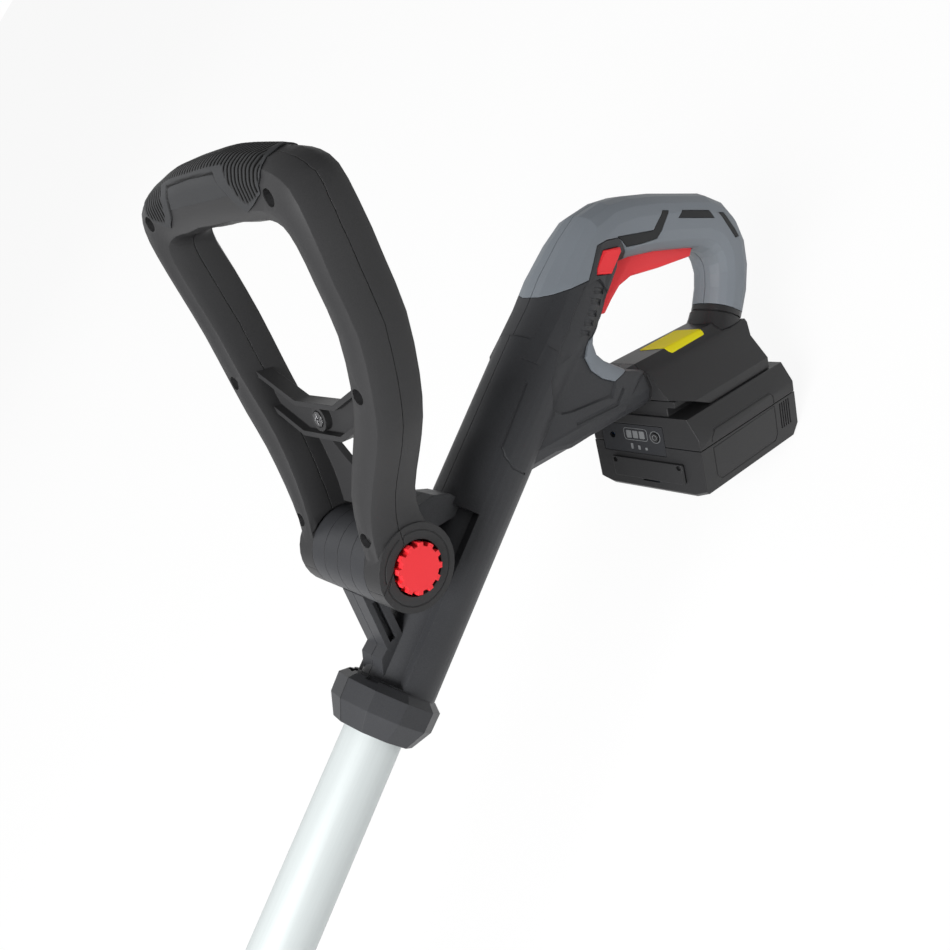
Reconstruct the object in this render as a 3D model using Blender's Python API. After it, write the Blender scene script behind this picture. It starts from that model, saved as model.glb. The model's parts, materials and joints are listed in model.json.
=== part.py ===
"""Cordless string trimmer with a tilting loop handle, a rear D grip and a slide-on battery.

Metres, +Z up. X runs along the tube, from the cutting head to the rear grip, and the tube's
axis at the collar is the origin that the sizes below are written from. The finished model
stands on the guard's rear edge and the battery's rear edge, with the middle of its base at
the world's origin.
"""

import math

import bmesh
import bpy
from mathutils import Matrix, Vector

# Clearances and walls
GAP = 0.0003
MERGE = 0.000002
WALL = 0.0026

# Tube
TUBE_RADIUS = 0.0150
TUBE_WALL = 0.0013
TUBE_REACH = 0.760
TUBE_SOCKET = 0.098

# Upper housing around the tube
PIPE_RADIUS = 0.0213
PIPE_START = 0.0100
PIPE_END = 0.2060
SEAM_X = 0.2290
SEAM_TOP = 0.0190
COLLAR_RADIUS = 0.0268
COLLAR_SIDES = 10
SADDLE_START = 0.0240
SADDLE_END = 0.1140
SADDLE_FLOOR = 0.0095
SADDLE_SKIN = 0.0022

# Tilting handle's hub
HUB_X = 0.0768
HUB_Z = 0.0431
HUB_RADIUS = 0.0206
HUB_CORE_HALF = 0.0110
HUB_RING_EDGE = 0.0220
HUB_HALF = 0.0340
BOLT_RADIUS = 0.0030
BOLT_HEAD_RADIUS = 0.0070
BOLT_SEAT = HUB_HALF - 0.0050
KNOB_RADIUS = 0.0120
KNOB_TEETH = 12
KNOB_DEPTH = 0.0075
KNOB_PROUD = 0.0020
KNOB_TRAVEL = 0.0030

# Loop handle
BAR_SLOPE = 57.5
CHAMFER_SHARE = 0.28
ARM_STEPS = 2
PAD_THICKNESS = 0.0016
SCREW_RADIUS = 0.0034
SCREW_LENGTH = 0.0110
SCREW_SEAT = 0.0062
SHANK_RADIUS = 0.0016
CROSSBAR_HALF = 0.0090
CROSSBAR_TOP = 0.0075
CROSSBAR_DEPTH = 0.0080
BOSS_RADIUS = 0.0058
BOSS_FRONT = -0.0075
BOSS_REAR = 0.0030
CROSSBAR_PLACE = (0.1237, 0.0, 0.0951, 46.5)
PAD_HALF = 0.0400

# Rear grip
GRIP_HALF_WIDTH = 0.0168
POST_HALF_WIDTH = 0.0145
GRIP_SIDES = 16
BODY_HALF_WIDTH = 0.0172
INLAY_DEPTH = 0.0014
TRIGGER_HALF = 0.0070
TRIGGER_TRAVEL = 4.5
TRIGGER_STEPS = 4
TRIGGER_SIDE_GAP = 0.0005
TRIGGER_EDGE_GAP = 0.0006
TRIGGER_PIVOT = Vector((0.3165, 0.0, -0.0690))
SWITCH_PLACE = (0.2899, 0.0, -0.0103)
SWITCH_SLOPE = 40.0
SPRING_REACH = 0.0200
LOCK_OFF_PROUD = 0.0022

# Battery and its dock, tilted nose-down from the tube
PACK_TILT = 41.56
PACK_FRONT = 0.2244
PACK_LENGTH = 0.0988
PACK_HALF_WIDTH = 0.0402
PACK_BASE = 0.0263
PACK_TOP = 0.0752
PACK_SPLIT = 0.0560
PACK_WALL = 0.0024
CASE_EDGE_WIDTH = 0.0087
CASE_EDGE_HEIGHT = 0.0028
CASE_NOSE = 0.0020
CASE_REAR_EDGE = 0.0062
TONGUE_TOP = 0.0846
TONGUE_HALF = 0.0194
FLANGE_HALF = 0.0252
FLANGE_BASE = 0.0805
STRUT_BASE = 0.0860
STRUT_TOP = 0.1100
DOCK_START = 0.2173
DOCK_END = 0.3120
DOCK_OVERHANG = 0.0090
TERMINAL_START = 0.2550
CELL_RADIUS = 0.00905
CELL_PITCH = 0.0182
CELL_LENGTH = 0.0650
CELL_SLACK = 0.0020
CELLS_IN_LAYER = int((PACK_LENGTH - 2.0 * PACK_WALL - CELL_SLACK) / CELL_PITCH)
CASE_RIBS = 5
CASE_RIB_PITCH = 0.0024
GAUGE_BUTTON = (0.0, -0.0085, 0.0620)
STRAP_START = PACK_FRONT + PACK_WALL + GAP
STRAP_THICKNESS = 0.0012

# Controller board and leads
BOARD_START = 0.1200
BOARD_END = 0.1600
LEAD_RADIUS = 0.0020

# Cutting head, tilted forward from the tube
HEAD_TILT = 45.0
HEAD_REACH = 0.0910
HEAD_X = -TUBE_REACH - HEAD_REACH
HEAD_Z = -0.0430
MOTOR_RADIUS = 0.0190
MOTOR_LENGTH = 0.0500
MOTOR_BASE = 0.0080
SHAFT_RADIUS = 0.0025
SHROUD_RADIUS = 0.0265
NECK_RADIUS = 0.0215
NECK_LENGTH = 0.0550
VENT_PLACES = 10
GUARD_REACH = 0.1650
GUARD_NOSE = 0.0600
GUARD_SPREAD = 54.0
GUARD_WALL = 0.0028
GUARD_LAND = 0.0450
SPOOL_RADIUS = 0.0460
SPOOL_TOP = -0.0070
SPOOL_SPLIT = -0.0400
SPOOL_BASE = -0.0480
BUMP_RADIUS = 0.0210
BUMP_BASE = -0.0600
BUMP_TRAVEL = 0.0050

# Rear grip's centre line: x, z, half depth, half width, direction in degrees below the tube
GRIP_LINE = [
    (0.1950, 0.0000, 0.0206, 0.0206, 0.0),
    (0.2070, -0.0006, 0.0204, 0.0206, 2.0),
    (0.2220, -0.0018, 0.0208, 0.0210, 6.0),
    (0.2370, -0.0019, 0.0220, 0.0212, 12.0),
    (0.2556, -0.0012, 0.0212, 0.0198, 26.0),
    (0.2704, -0.0005, 0.0188, 0.0180, 37.0),
    (0.2847, -0.0067, 0.0170, GRIP_HALF_WIDTH, 46.0),
    (0.2955, -0.0167, 0.0170, GRIP_HALF_WIDTH, 50.0),
    (0.3100, -0.0338, 0.0166, GRIP_HALF_WIDTH, 53.0),
    (0.3272, -0.0571, 0.0163, GRIP_HALF_WIDTH, 56.0),
    (0.3358, -0.0693, 0.0166, 0.0165, 62.0),
    (0.3405, -0.0810, 0.0168, 0.0162, 78.0),
    (0.3410, -0.0920, 0.0166, 0.0158, 96.0),
    (0.3378, -0.1024, 0.0166, 0.0154, 114.0),
    (0.3308, -0.1115, 0.0166, POST_HALF_WIDTH, 135.0),
    (0.3203, -0.1182, 0.0158, POST_HALF_WIDTH, 152.0),
    (0.3085, -0.1225, 0.0148, POST_HALF_WIDTH, 163.0),
    (0.2960, -0.1258, 0.0150, 0.0152, 166.0),
]
POST_END = 16

# Side views of the dark trim let into the grip
INLAYS = {
    "band": [
        (0.2815, -0.0060),
        (0.3008, -0.0285),
        (0.3145, -0.0296),
        (0.3172, -0.0336),
        (0.2999, -0.0344),
        (0.2903, -0.0250),
        (0.2820, -0.0155),
    ],
    "patch": [(0.3193, -0.0430), (0.3247, -0.0439), (0.3390, -0.0643), (0.3385, -0.0706)],
    "bar": [(0.3440, -0.0735), (0.3470, -0.0778), (0.3450, -0.0985), (0.3421, -0.0957)],
}

# Right arm's sections from the hub up: x, y, z, width, depth, slope of the handle, lean of the
# section's width out of the level, and how far the rear's outer and inner edges stand out
ARM_LINE = [
    (0.0800, -0.0282, 0.0493, 0.0110, 0.0335, 58.0, 0.0, 0.0, 0.0),
    (0.0894, -0.0268, 0.0623, 0.0128, 0.0286, 54.0, -10.4, 0.0005, 0.0),
    (0.1000, -0.0301, 0.0744, 0.0161, 0.0267, 49.0, -23.0, 0.0005, 0.0),
    (0.1133, -0.0392, 0.0872, 0.0181, 0.0265, 46.0, -25.9, 0.0, 0.0),
    (0.1238, -0.0481, 0.0989, 0.0187, 0.0262, 46.5, -21.4, 0.0, 0.0),
    (0.1345, -0.0538, 0.1118, 0.0180, 0.0266, 49.0, -9.1, 0.0002, 0.0010),
    (0.1483, -0.0585, 0.1303, 0.0185, 0.0265, 55.0, -1.7, 0.0005, 0.0017),
    (0.1591, -0.0593, 0.1493, 0.0188, 0.0262, 57.5, 0.0, 0.0019, 0.0032),
    (0.1673, -0.0602, 0.1640, 0.0213, 0.0256, 57.5, 23.4, 0.0027, 0.0037),
    (0.1729, -0.0583, 0.1727, 0.0251, 0.0262, 57.5, 39.0, 0.0024, 0.0034),
    (0.1759, -0.0517, 0.1765, 0.0259, 0.0262, 57.5, 47.8, 0.0016, 0.0016),
    (0.1770, -0.0434, 0.1783, 0.0260, 0.0258, 57.5, 55.6, 0.0011, 0.0012),
    (0.1778, -0.0315, 0.1795, 0.0258, 0.0255, 57.5, 67.6, 0.0008, 0.0012),
    (0.1784, -0.0165, 0.1814, 0.0254, 0.0252, 57.5, 83.3, 0.0002, 0.0009),
    (0.1784, -0.0050, 0.1815, 0.0257, 0.0250, 57.5, 90.0, 0.0, 0.0007),
]

# Screw holes through the loop handle's front: x, y, z of the mouth, slope of the handle
HANDLE_SCREWS = [
    (0.1651, 0.0545, 0.1845, 57.5),
    (0.1230, 0.0529, 0.1187, 49.0),
    (0.0766, 0.0275, 0.0711, 54.0),
]

# Colours
BLACK = (0.022, 0.023, 0.025)
DARK = (0.012, 0.012, 0.013)
GREY = (0.155, 0.168, 0.185)
RED = (0.85, 0.045, 0.055)
ALLOY = (0.78, 0.80, 0.81)
STEEL = (0.45, 0.45, 0.46)
GREEN = (0.02, 0.16, 0.06)
COPPER = (0.70, 0.32, 0.16)
BLUE = (0.05, 0.18, 0.42)

TILT = math.radians(PACK_TILT)
HEAD_ANGLE = math.radians(HEAD_TILT)
HUB = Vector((HUB_X, 0.0, HUB_Z))
PACK_FRAME = Matrix.Rotation(TILT, 4, "Y")
HEAD_FRAME = Matrix.Translation((HEAD_X, 0.0, HEAD_Z)) @ Matrix.Rotation(HEAD_ANGLE, 4, "Y")


def clear_scene():
    """Removes what the file opened with."""
    for leftover in list(bpy.data.objects):
        bpy.data.objects.remove(leftover, do_unlink=True)


def shape_from(bm):
    """Turns a bmesh into an object with its faces pointing out."""
    bmesh.ops.recalc_face_normals(bm, faces=bm.faces)
    mesh = bpy.data.meshes.new("shape")
    bm.to_mesh(mesh)
    bm.free()
    shape = bpy.data.objects.new("shape", mesh)
    bpy.context.scene.collection.objects.link(shape)
    return shape


def point_on(axis, along, first, second):
    """Places a point at a distance along an axis, and two distances across it."""
    if axis == "X":
        return (along, first, second)
    if axis == "Y":
        return (first, along, second)
    return (first, second, along)


def prism(outline, low, high, axis="Y"):
    """Extrudes a flat outline between two planes."""
    bm = bmesh.new()
    lower = [bm.verts.new(point_on(axis, low, u, v)) for u, v in outline]
    upper = [bm.verts.new(point_on(axis, high, u, v)) for u, v in outline]
    bm.faces.new(lower)
    bm.faces.new(upper)
    count = len(outline)
    for i in range(count):
        j = (i + 1) % count
        bm.faces.new((lower[i], lower[j], upper[j], upper[i]))
    return shape_from(bm)


def block(x_range, y_range, z_range):
    """A plain box between two corners."""
    outline = [
        (x_range[0], z_range[0]),
        (x_range[1], z_range[0]),
        (x_range[1], z_range[1]),
        (x_range[0], z_range[1]),
    ]
    return prism(outline, y_range[0], y_range[1])


def turned(profile, axis="X", segments=32, centre=(0.0, 0.0, 0.0)):
    """Turns a profile of (distance along, radius) about an axis through a centre."""
    bm = bmesh.new()
    rows = []
    for along, radius in profile:
        if radius == 0.0:
            rows.append([bm.verts.new(Vector(point_on(axis, along, 0.0, 0.0)) + Vector(centre))])
            continue
        row = []
        for i in range(segments):
            angle = 2.0 * math.pi * (i + 0.5) / segments
            across = (radius * math.cos(angle), radius * math.sin(angle))
            row.append(bm.verts.new(Vector(point_on(axis, along, *across)) + Vector(centre)))
        rows.append(row)
    pairs = list(zip(rows[:-1], rows[1:]))
    if len(rows[0]) > 1:
        pairs.append((rows[-1], rows[0]))
    for first, second in pairs:
        for i in range(segments):
            j = (i + 1) % segments
            corners = [first[i % len(first)], first[j % len(first)]]
            corners += [second[j % len(second)], second[i % len(second)]]
            bm.faces.new(list(dict.fromkeys(corners)))
    return shape_from(bm)


def rod(low, high, radius, axis="X", segments=32, centre=(0.0, 0.0, 0.0)):
    """A plain round bar."""
    profile = [(low, 0.0), (low, radius), (high, radius), (high, 0.0)]
    return turned(profile, axis, segments, centre)


def pipe(low, high, outer, inner, axis="X", segments=32, centre=(0.0, 0.0, 0.0)):
    """A plain round tube."""
    profile = [(low, outer), (high, outer), (high, inner), (low, inner)]
    return turned(profile, axis, segments, centre)


def loft(rings):
    """Skins a row of closed rings with as many points each, and caps both ends."""
    bm = bmesh.new()
    rows = [[bm.verts.new(point) for point in ring] for ring in rings]
    bm.faces.new(rows[0])
    bm.faces.new(rows[-1])
    count = len(rows[0])
    for first, second in zip(rows[:-1], rows[1:]):
        for i in range(count):
            j = (i + 1) % count
            bm.faces.new((first[i], first[j], second[j], second[i]))
    return shape_from(bm)


def bevel_caps(shape, axis, width, steps=2):
    """Rounds the edges of the two flat ends of a prism."""
    bm = bmesh.new()
    bm.from_mesh(shape.data)
    index = "XYZ".index(axis)
    low = min(v.co[index] for v in bm.verts)
    high = max(v.co[index] for v in bm.verts)
    edges = []
    for edge in bm.edges:
        levels = [v.co[index] for v in edge.verts]
        flat = abs(levels[0] - levels[1]) < 1e-7
        if flat and (abs(levels[0] - low) < 1e-7 or abs(levels[0] - high) < 1e-7):
            edges.append(edge)
    bmesh.ops.bevel(bm, geom=edges, offset=width, segments=steps, profile=0.5, affect="EDGES")
    bmesh.ops.recalc_face_normals(bm, faces=bm.faces)
    bm.to_mesh(shape.data)
    bm.free()
    return shape


def combine(shape, other, operation, keep=False):
    """Applies a Boolean to a shape, and removes the other one unless it is kept."""
    modifier = shape.modifiers.new("combine", "BOOLEAN")
    modifier.operation = operation
    modifier.solver = "EXACT"
    modifier.object = other
    bpy.context.view_layer.update()
    depsgraph = bpy.context.evaluated_depsgraph_get()
    mesh = bpy.data.meshes.new_from_object(shape.evaluated_get(depsgraph))
    shape.modifiers.clear()
    shape.data = mesh
    bm = bmesh.new()
    bm.from_mesh(mesh)
    bmesh.ops.remove_doubles(bm, verts=bm.verts, dist=MERGE)
    bmesh.ops.dissolve_degenerate(bm, edges=bm.edges, dist=MERGE)
    bm.to_mesh(mesh)
    bm.free()
    if not keep:
        bpy.data.objects.remove(other, do_unlink=True)
    return shape


def cut(shape, *others):
    """Takes the tools away from a shape, and removes them."""
    for other in others:
        combine(shape, other, "DIFFERENCE")
    return shape


def fuse(shape, *others):
    """Joins the others to a shape, and removes them."""
    for other in others:
        combine(shape, other, "UNION")
    return shape


def common(shape, *others):
    """Keeps what a shape shares with another, and removes the other."""
    for other in others:
        combine(shape, other, "INTERSECT")
    return shape


def copy_of(shape):
    """A second shape with its own mesh."""
    twin = shape.copy()
    twin.data = shape.data.copy()
    bpy.context.scene.collection.objects.link(twin)
    return twin


def moved(shape, matrix):
    """Moves the mesh itself."""
    shape.data.transform(matrix)
    if matrix.determinant() < 0.0:
        shape.data.flip_normals()
    return shape


def shifted(shape, x=0.0, y=0.0, z=0.0):
    """Moves a shape's mesh along the axes."""
    return moved(shape, Matrix.Translation((x, y, z)))


def offset(outline, distance):
    """Moves each side of a closed outline outward by a distance, or inward if it is negative."""
    area = 0.0
    count = len(outline)
    for i in range(count):
        (x0, y0), (x1, y1) = outline[i], outline[(i + 1) % count]
        area += x0 * y1 - x1 * y0
    turn = 1.0 if area > 0.0 else -1.0
    result = []
    for i in range(count):
        before = Vector(outline[i - 1])
        here = Vector(outline[i])
        after = Vector(outline[(i + 1) % count])
        first = (here - before).normalized()
        second = (after - here).normalized()
        normal = Vector((first.y + second.y, -first.x - second.x)) * turn
        normal.normalize()
        stretch = max(0.35, normal.dot(Vector((first.y, -first.x)) * turn))
        result.append(tuple(here + normal * (distance / stretch)))
    return result


def half(shape, side):
    """Keeps the part of a shape on one side of the middle plane, with half a gap to it."""
    reach = 2.0
    near, far = sorted((side * GAP / 2.0, side * reach))
    return common(copy_of(shape), block((-reach, reach), (near, far), (-reach, reach)))


materials = {}


def material(name, colour, roughness, metallic=0.0):
    """A plain surface, made once for each name."""
    if name not in materials:
        surface = bpy.data.materials.new(name)
        surface.use_nodes = True
        shader = surface.node_tree.nodes["Principled BSDF"]
        shader.inputs["Base Color"].default_value = (*colour, 1.0)
        shader.inputs["Roughness"].default_value = roughness
        shader.inputs["Metallic"].default_value = metallic
        surface.diffuse_color = (*colour, 1.0)
        materials[name] = surface
    return materials[name]


def empty(name, parent=None, matrix=Matrix()):
    """A frame that pieces are placed in."""
    frame = bpy.data.objects.new(name, None)
    bpy.context.scene.collection.objects.link(frame)
    frame.parent = parent
    frame.matrix_local = matrix
    return frame


def finish(name, shape, frame, surface, local=False):
    """Names a piece, gives it its material and hangs it in its frame."""
    shape.name = name
    shape.data.name = name
    if not local:
        shape.data.transform(frame.matrix_local.inverted())
    shape.parent = frame
    shape.data.materials.clear()
    shape.data.materials.append(surface)
    shape.data.shade_smooth()
    shape.data.set_sharp_from_angle(angle=math.radians(32.0))
    return shape


def wire(name, points, radius, frame, surface):
    """A round wire along a smooth route."""
    curve = bpy.data.curves.new(name, "CURVE")
    curve.dimensions = "3D"
    curve.bevel_depth = radius
    curve.bevel_resolution = 2
    curve.use_fill_caps = True
    spline = curve.splines.new("POLY")
    spline.points.add(len(points) - 1)
    for target, point in zip(spline.points, points):
        target.co = (*point, 1.0)
    piece = bpy.data.objects.new(name, curve)
    bpy.context.scene.collection.objects.link(piece)
    piece.parent = frame
    curve.materials.append(surface)
    return piece


def smooth_route(points, steps):
    """Reads points from a smooth curve through a route's own points."""
    route = [Vector(point) for point in points]
    padded = [route[0]] + route + [route[-1]]
    result = []
    for i in range(1, len(padded) - 2):
        before, here, after, beyond = padded[i - 1 : i + 3]
        for step in range(steps):
            t = step / steps
            blend = (
                here * 2.0
                + (after - before) * t
                + (before * 2.0 - here * 5.0 + after * 4.0 - beyond) * t**2
                + (here * 3.0 - before - after * 3.0 + beyond) * t**3
            )
            result.append(blend * 0.5)
    result.append(route[-1])
    return result


def pack_point(along, across, height):
    """A point of the tilted battery frame, in the tool's own frame."""
    return PACK_FRAME @ Vector((along, across, height))


def grip_ring(station, inset=0.0, sides=GRIP_SIDES):
    """An oval ring square to the grip's centre line."""
    x, z, half_depth, half_width, angle = station
    slope = math.radians(angle)
    across = Vector((math.sin(slope), 0.0, math.cos(slope)))
    ring = []
    for i in range(sides):
        turn = 2.0 * math.pi * (i + 0.5) / sides
        bulge = 0.80
        side = math.copysign(abs(math.cos(turn)) ** bulge, math.cos(turn))
        height = math.copysign(abs(math.sin(turn)) ** bulge, math.sin(turn))
        point = Vector((x, 0.0, z)) + across * (height * (half_depth - inset))
        point.y = side * (half_width - inset)
        ring.append(point)
    return ring


def grip_solid(first, last, inset=0.0):
    """The grip's skin between two stations, drawn in by an inset."""
    return loft([grip_ring(station, inset) for station in GRIP_LINE[first:last]])


def seam_region(gap):
    """Everything behind the seam between the black body and the grey grip."""
    seam = [
        (SEAM_X - 0.0300 + gap, 0.0600),
        (SEAM_X + gap, SEAM_TOP),
        (0.2480 + gap, 0.0040 + gap),
        (0.2680, 0.0060 + gap),
        (0.2740 + gap, 0.0016 + gap),
        (0.2812 + gap, -0.0066 + gap),
        (0.2800 + gap, -0.0150),
        (0.2700 + gap, -0.0500),
        (0.3000, -0.0700),
        (0.2850, -0.1300),
        (0.3200, -0.2000),
        (0.4200, -0.2000),
        (0.4200, 0.0600),
    ]
    return prism(seam, -0.0600, 0.0600)


def strut_ring(along, inset=0.0, spread=0.0):
    """The battery strut's section, square to the pack's slide."""
    section = [
        (STRUT_BASE + inset, 0.0120 - inset * 0.5),
        (STRUT_BASE + 0.0040, 0.0160 + spread - inset),
        (STRUT_TOP - 0.0140, 0.0176 + spread - inset),
        (STRUT_TOP - 0.0060, 0.0150 - inset),
        (STRUT_TOP - inset, 0.0092 - inset * 0.5),
    ]
    mirrored = [(height, -across) for height, across in reversed(section)]
    return [Vector((along, across, height)) for height, across in section + mirrored]


def shoulder_outline():
    """Side view of the flat-sided body between the pipe and the D opening."""
    return [
        (0.1500, -0.0080),
        (0.2000, 0.0100),
        (0.2420, 0.0110),
        (0.2600, 0.0030),
        (0.2780, -0.0020),
        (0.2775, -0.0110),
        (0.2680, -0.0150),
        (0.2520, -0.0160),
        (0.2400, -0.0180),
        (0.2300, -0.0175),
        (0.2252, -0.0200),
        (0.2222, -0.0250),
        (0.2222, -0.0330),
        (0.2240, -0.0400),
        (0.2268, -0.0510),
        (0.2340, -0.0650),
        (0.2050, -0.0640),
        (0.1700, -0.0350),
    ]


def collar_solid():
    """The faceted ring that the tube leaves."""
    rings = []
    for x, step in ((-0.0005, 0.0062), (0.0095, 0.0004), (0.0195, 0.0), (0.0232, 0.0042)):
        radius = COLLAR_RADIUS - step
        ring = []
        for i in range(COLLAR_SIDES):
            angle = 2.0 * math.pi * i / COLLAR_SIDES + math.pi / 2.0
            ring.append(Vector((x, radius * math.cos(angle), radius * math.sin(angle) + 0.0010)))
        rings.append(ring)
    return loft(rings)


def hub_bracket():
    """Struts and web that carry the hub's fixed core."""
    core = rod(-HUB_CORE_HALF, HUB_CORE_HALF, HUB_RADIUS, "Y", 32, (HUB_X, 0.0, HUB_Z))
    lower = prism(
        [
            (0.0240, 0.0140),
            (0.0330, 0.0205),
            (0.0385, 0.0200),
            (0.0560, 0.0455),
            (0.0640, 0.0400),
            (0.0450, 0.0110),
        ],
        -0.0085,
        0.0085,
    )
    for side in (-1.0, 1.0):
        groove = prism(
            [(0.0420, 0.0200), (0.0550, 0.0390), (0.0575, 0.0370), (0.0450, 0.0180)],
            min(side * 0.0050, side * 0.0150),
            max(side * 0.0050, side * 0.0150),
        )
        cut(lower, groove)
    web = block((0.0640, 0.0920), (-0.0042, 0.0042), (0.0165, 0.0400))
    peg = prism(
        [
            (0.0860, 0.0350),
            (0.0950, 0.0450),
            (0.1131, 0.0318),
            (0.1176, 0.0232),
            (0.1178, 0.0140),
            (0.1110, 0.0130),
        ],
        -0.0090,
        0.0090,
    )
    return fuse(core, lower, web, peg)


def body_solid():
    """Outer form of the black body and the grey grip together."""
    body = rod(PIPE_START, PIPE_END, PIPE_RADIUS, "X", 32)
    saddle = block((SADDLE_START, SADDLE_END), (-0.0400, 0.0400), (SADDLE_FLOOR, 0.0400))
    cut(saddle, rod(0.0, 0.2, TUBE_RADIUS + GAP + SADDLE_SKIN, "X", 32))
    cut(body, saddle)
    fuse(body, grip_solid(0, POST_END + 1))
    shoulder = bevel_caps(prism(shoulder_outline(), -BODY_HALF_WIDTH, BODY_HALF_WIDTH), "Y", 0.0035)
    fuse(body, shoulder)
    strut = loft([strut_ring(along) for along in (0.1000, DOCK_START + 0.0040)])
    fuse(body, moved(strut, PACK_FRAME))
    beyond = block((DOCK_START - GAP, DOCK_START + 0.0300), (-0.0500, 0.0500), (0.0700, STRUT_TOP + 0.0002))
    cut(body, moved(beyond, PACK_FRAME))
    fuse(body, collar_solid(), hub_bracket())
    return body


def body_hollow():
    """The room inside the body for the tube, the electronics, the switch and the leads."""
    hollow = turned(
        [
            (-0.0100, 0.0),
            (-0.0100, TUBE_RADIUS + GAP),
            (TUBE_SOCKET + GAP, TUBE_RADIUS + GAP),
            (TUBE_SOCKET + GAP, 0.0120),
            (TUBE_SOCKET + 0.0060, 0.0120),
            (TUBE_SOCKET + 0.0200, PIPE_RADIUS - WALL),
            (PIPE_END, PIPE_RADIUS - WALL),
            (PIPE_END, 0.0),
        ],
        "X",
        24,
    )
    fuse(hollow, loft([grip_ring(station, WALL) for station in GRIP_LINE[1 : POST_END + 2]]))
    strut = loft([strut_ring(along, WALL) for along in (0.1350, DOCK_START + 0.0100)])
    fuse(hollow, moved(strut, PACK_FRAME))
    return hollow


def trigger_outline():
    """Side view of the trigger."""
    return [
        (0.2442, -0.0235),
        (0.2485, -0.0285),
        (0.2570, -0.0290),
        (0.2670, -0.0305),
        (0.2770, -0.0360),
        (0.2940, -0.0540),
        (0.3150, -0.0745),
        (0.3205, -0.0730),
        (0.3225, -0.0690),
        (0.3100, -0.0490),
        (0.2950, -0.0290),
        (0.2790, -0.0170),
        (0.2620, -0.0150),
        (0.2500, -0.0175),
    ]


def trigger_room():
    """The slot that the trigger moves in, from rest to fully squeezed."""
    half_width = TRIGGER_HALF + TRIGGER_SIDE_GAP
    rest = prism(offset(trigger_outline(), TRIGGER_EDGE_GAP), -half_width, half_width)
    room = copy_of(rest)
    pivot = Matrix.Translation(TRIGGER_PIVOT)
    for step in range(1, TRIGGER_STEPS + 1):
        turn = Matrix.Rotation(math.radians(TRIGGER_TRAVEL * step / TRIGGER_STEPS), 4, "Y")
        turned_room = moved(copy_of(rest), pivot @ turn @ pivot.inverted())
        fuse(room, shifted(turned_room, y=MERGE * 5.0 * step))
    bpy.data.objects.remove(rest, do_unlink=True)
    return room


def lock_off_outline(grow=0.0):
    """Side view of the lock-off button's face."""
    outline = [
        (0.2540, 0.0000),
        (0.2570, 0.0015),
        (0.2680, 0.0015),
        (0.2765, -0.0080),
        (0.2750, -0.0100),
        (0.2615, -0.0100),
    ]
    return offset(outline, grow) if grow else outline


def corner_outline(grow=0.0):
    """Side view of the liner at the D opening's lower front corner."""
    outline = [
        (0.2240, -0.0150),
        (0.2330, -0.0200),
        (0.2380, -0.0400),
        (0.2330, -0.0540),
        (0.2158, -0.0445),
        (0.2128, -0.0360),
        (0.2122, -0.0260),
        (0.2154, -0.0180),
    ]
    return offset(outline, grow) if grow else outline


def make_body(frame):
    """Black housing halves, grey grip halves, the corner liner and the side inlays."""
    black = material("housing_black", BLACK, 0.55)
    grey = material("grip_grey", GREY, 0.5)
    dark = material("soft_dark", DARK, 0.65)
    body = body_solid()
    liner = common(copy_of(body), prism(corner_outline(), -0.0400, 0.0400))
    cut(liner, body_hollow())
    grip = common(copy_of(body), seam_region(GAP))
    cut(body, seam_region(0.0))
    cut(body, prism(corner_outline(GAP), -0.0500, 0.0500))
    hollow = body_hollow()
    combine(body, hollow, "DIFFERENCE", keep=True)
    combine(grip, hollow, "DIFFERENCE")
    for shape in (body, grip):
        cut(shape, trigger_room())
        cut(shape, prism(lock_off_outline(GAP), -0.0400, 0.0400))
    cut(body, bolt_bore())
    for side, word in ((-1.0, "left"), (1.0, "right")):
        finish("housing_" + word, half(body, side), frame, black)
        shell = half(grip, side)
        for label, outline in INLAYS.items():
            near, far = sorted((side * 0.0030, side * 0.0400))
            piece = common(prism(outline, near, far), grip_solid(1, POST_END + 1))
            cut(piece, grip_solid(1, POST_END + 1, INLAY_DEPTH))
            room = prism(offset(outline, GAP), near, far)
            cut(room, grip_solid(1, POST_END + 1, INLAY_DEPTH + GAP))
            cut(shell, room)
            finish("inlay_" + label + "_" + word, piece, frame, dark)
        finish("grip_" + word, shell, frame, grey)
    bpy.data.objects.remove(body, do_unlink=True)
    bpy.data.objects.remove(grip, do_unlink=True)
    finish("corner_liner", liner, frame, grey)


def knob_outline(grow=0.0):
    """Toothed outline of the lock knob, as x and z from the hub's axis."""
    outline = []
    for tooth in range(KNOB_TEETH):
        for share, radius in ((-0.27, 0.0103), (-0.20, KNOB_RADIUS), (0.20, KNOB_RADIUS), (0.27, 0.0103)):
            angle = 2.0 * math.pi * (tooth + share) / KNOB_TEETH
            outline.append(((radius + grow) * math.cos(angle), (radius + grow) * math.sin(angle)))
    return outline


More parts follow.
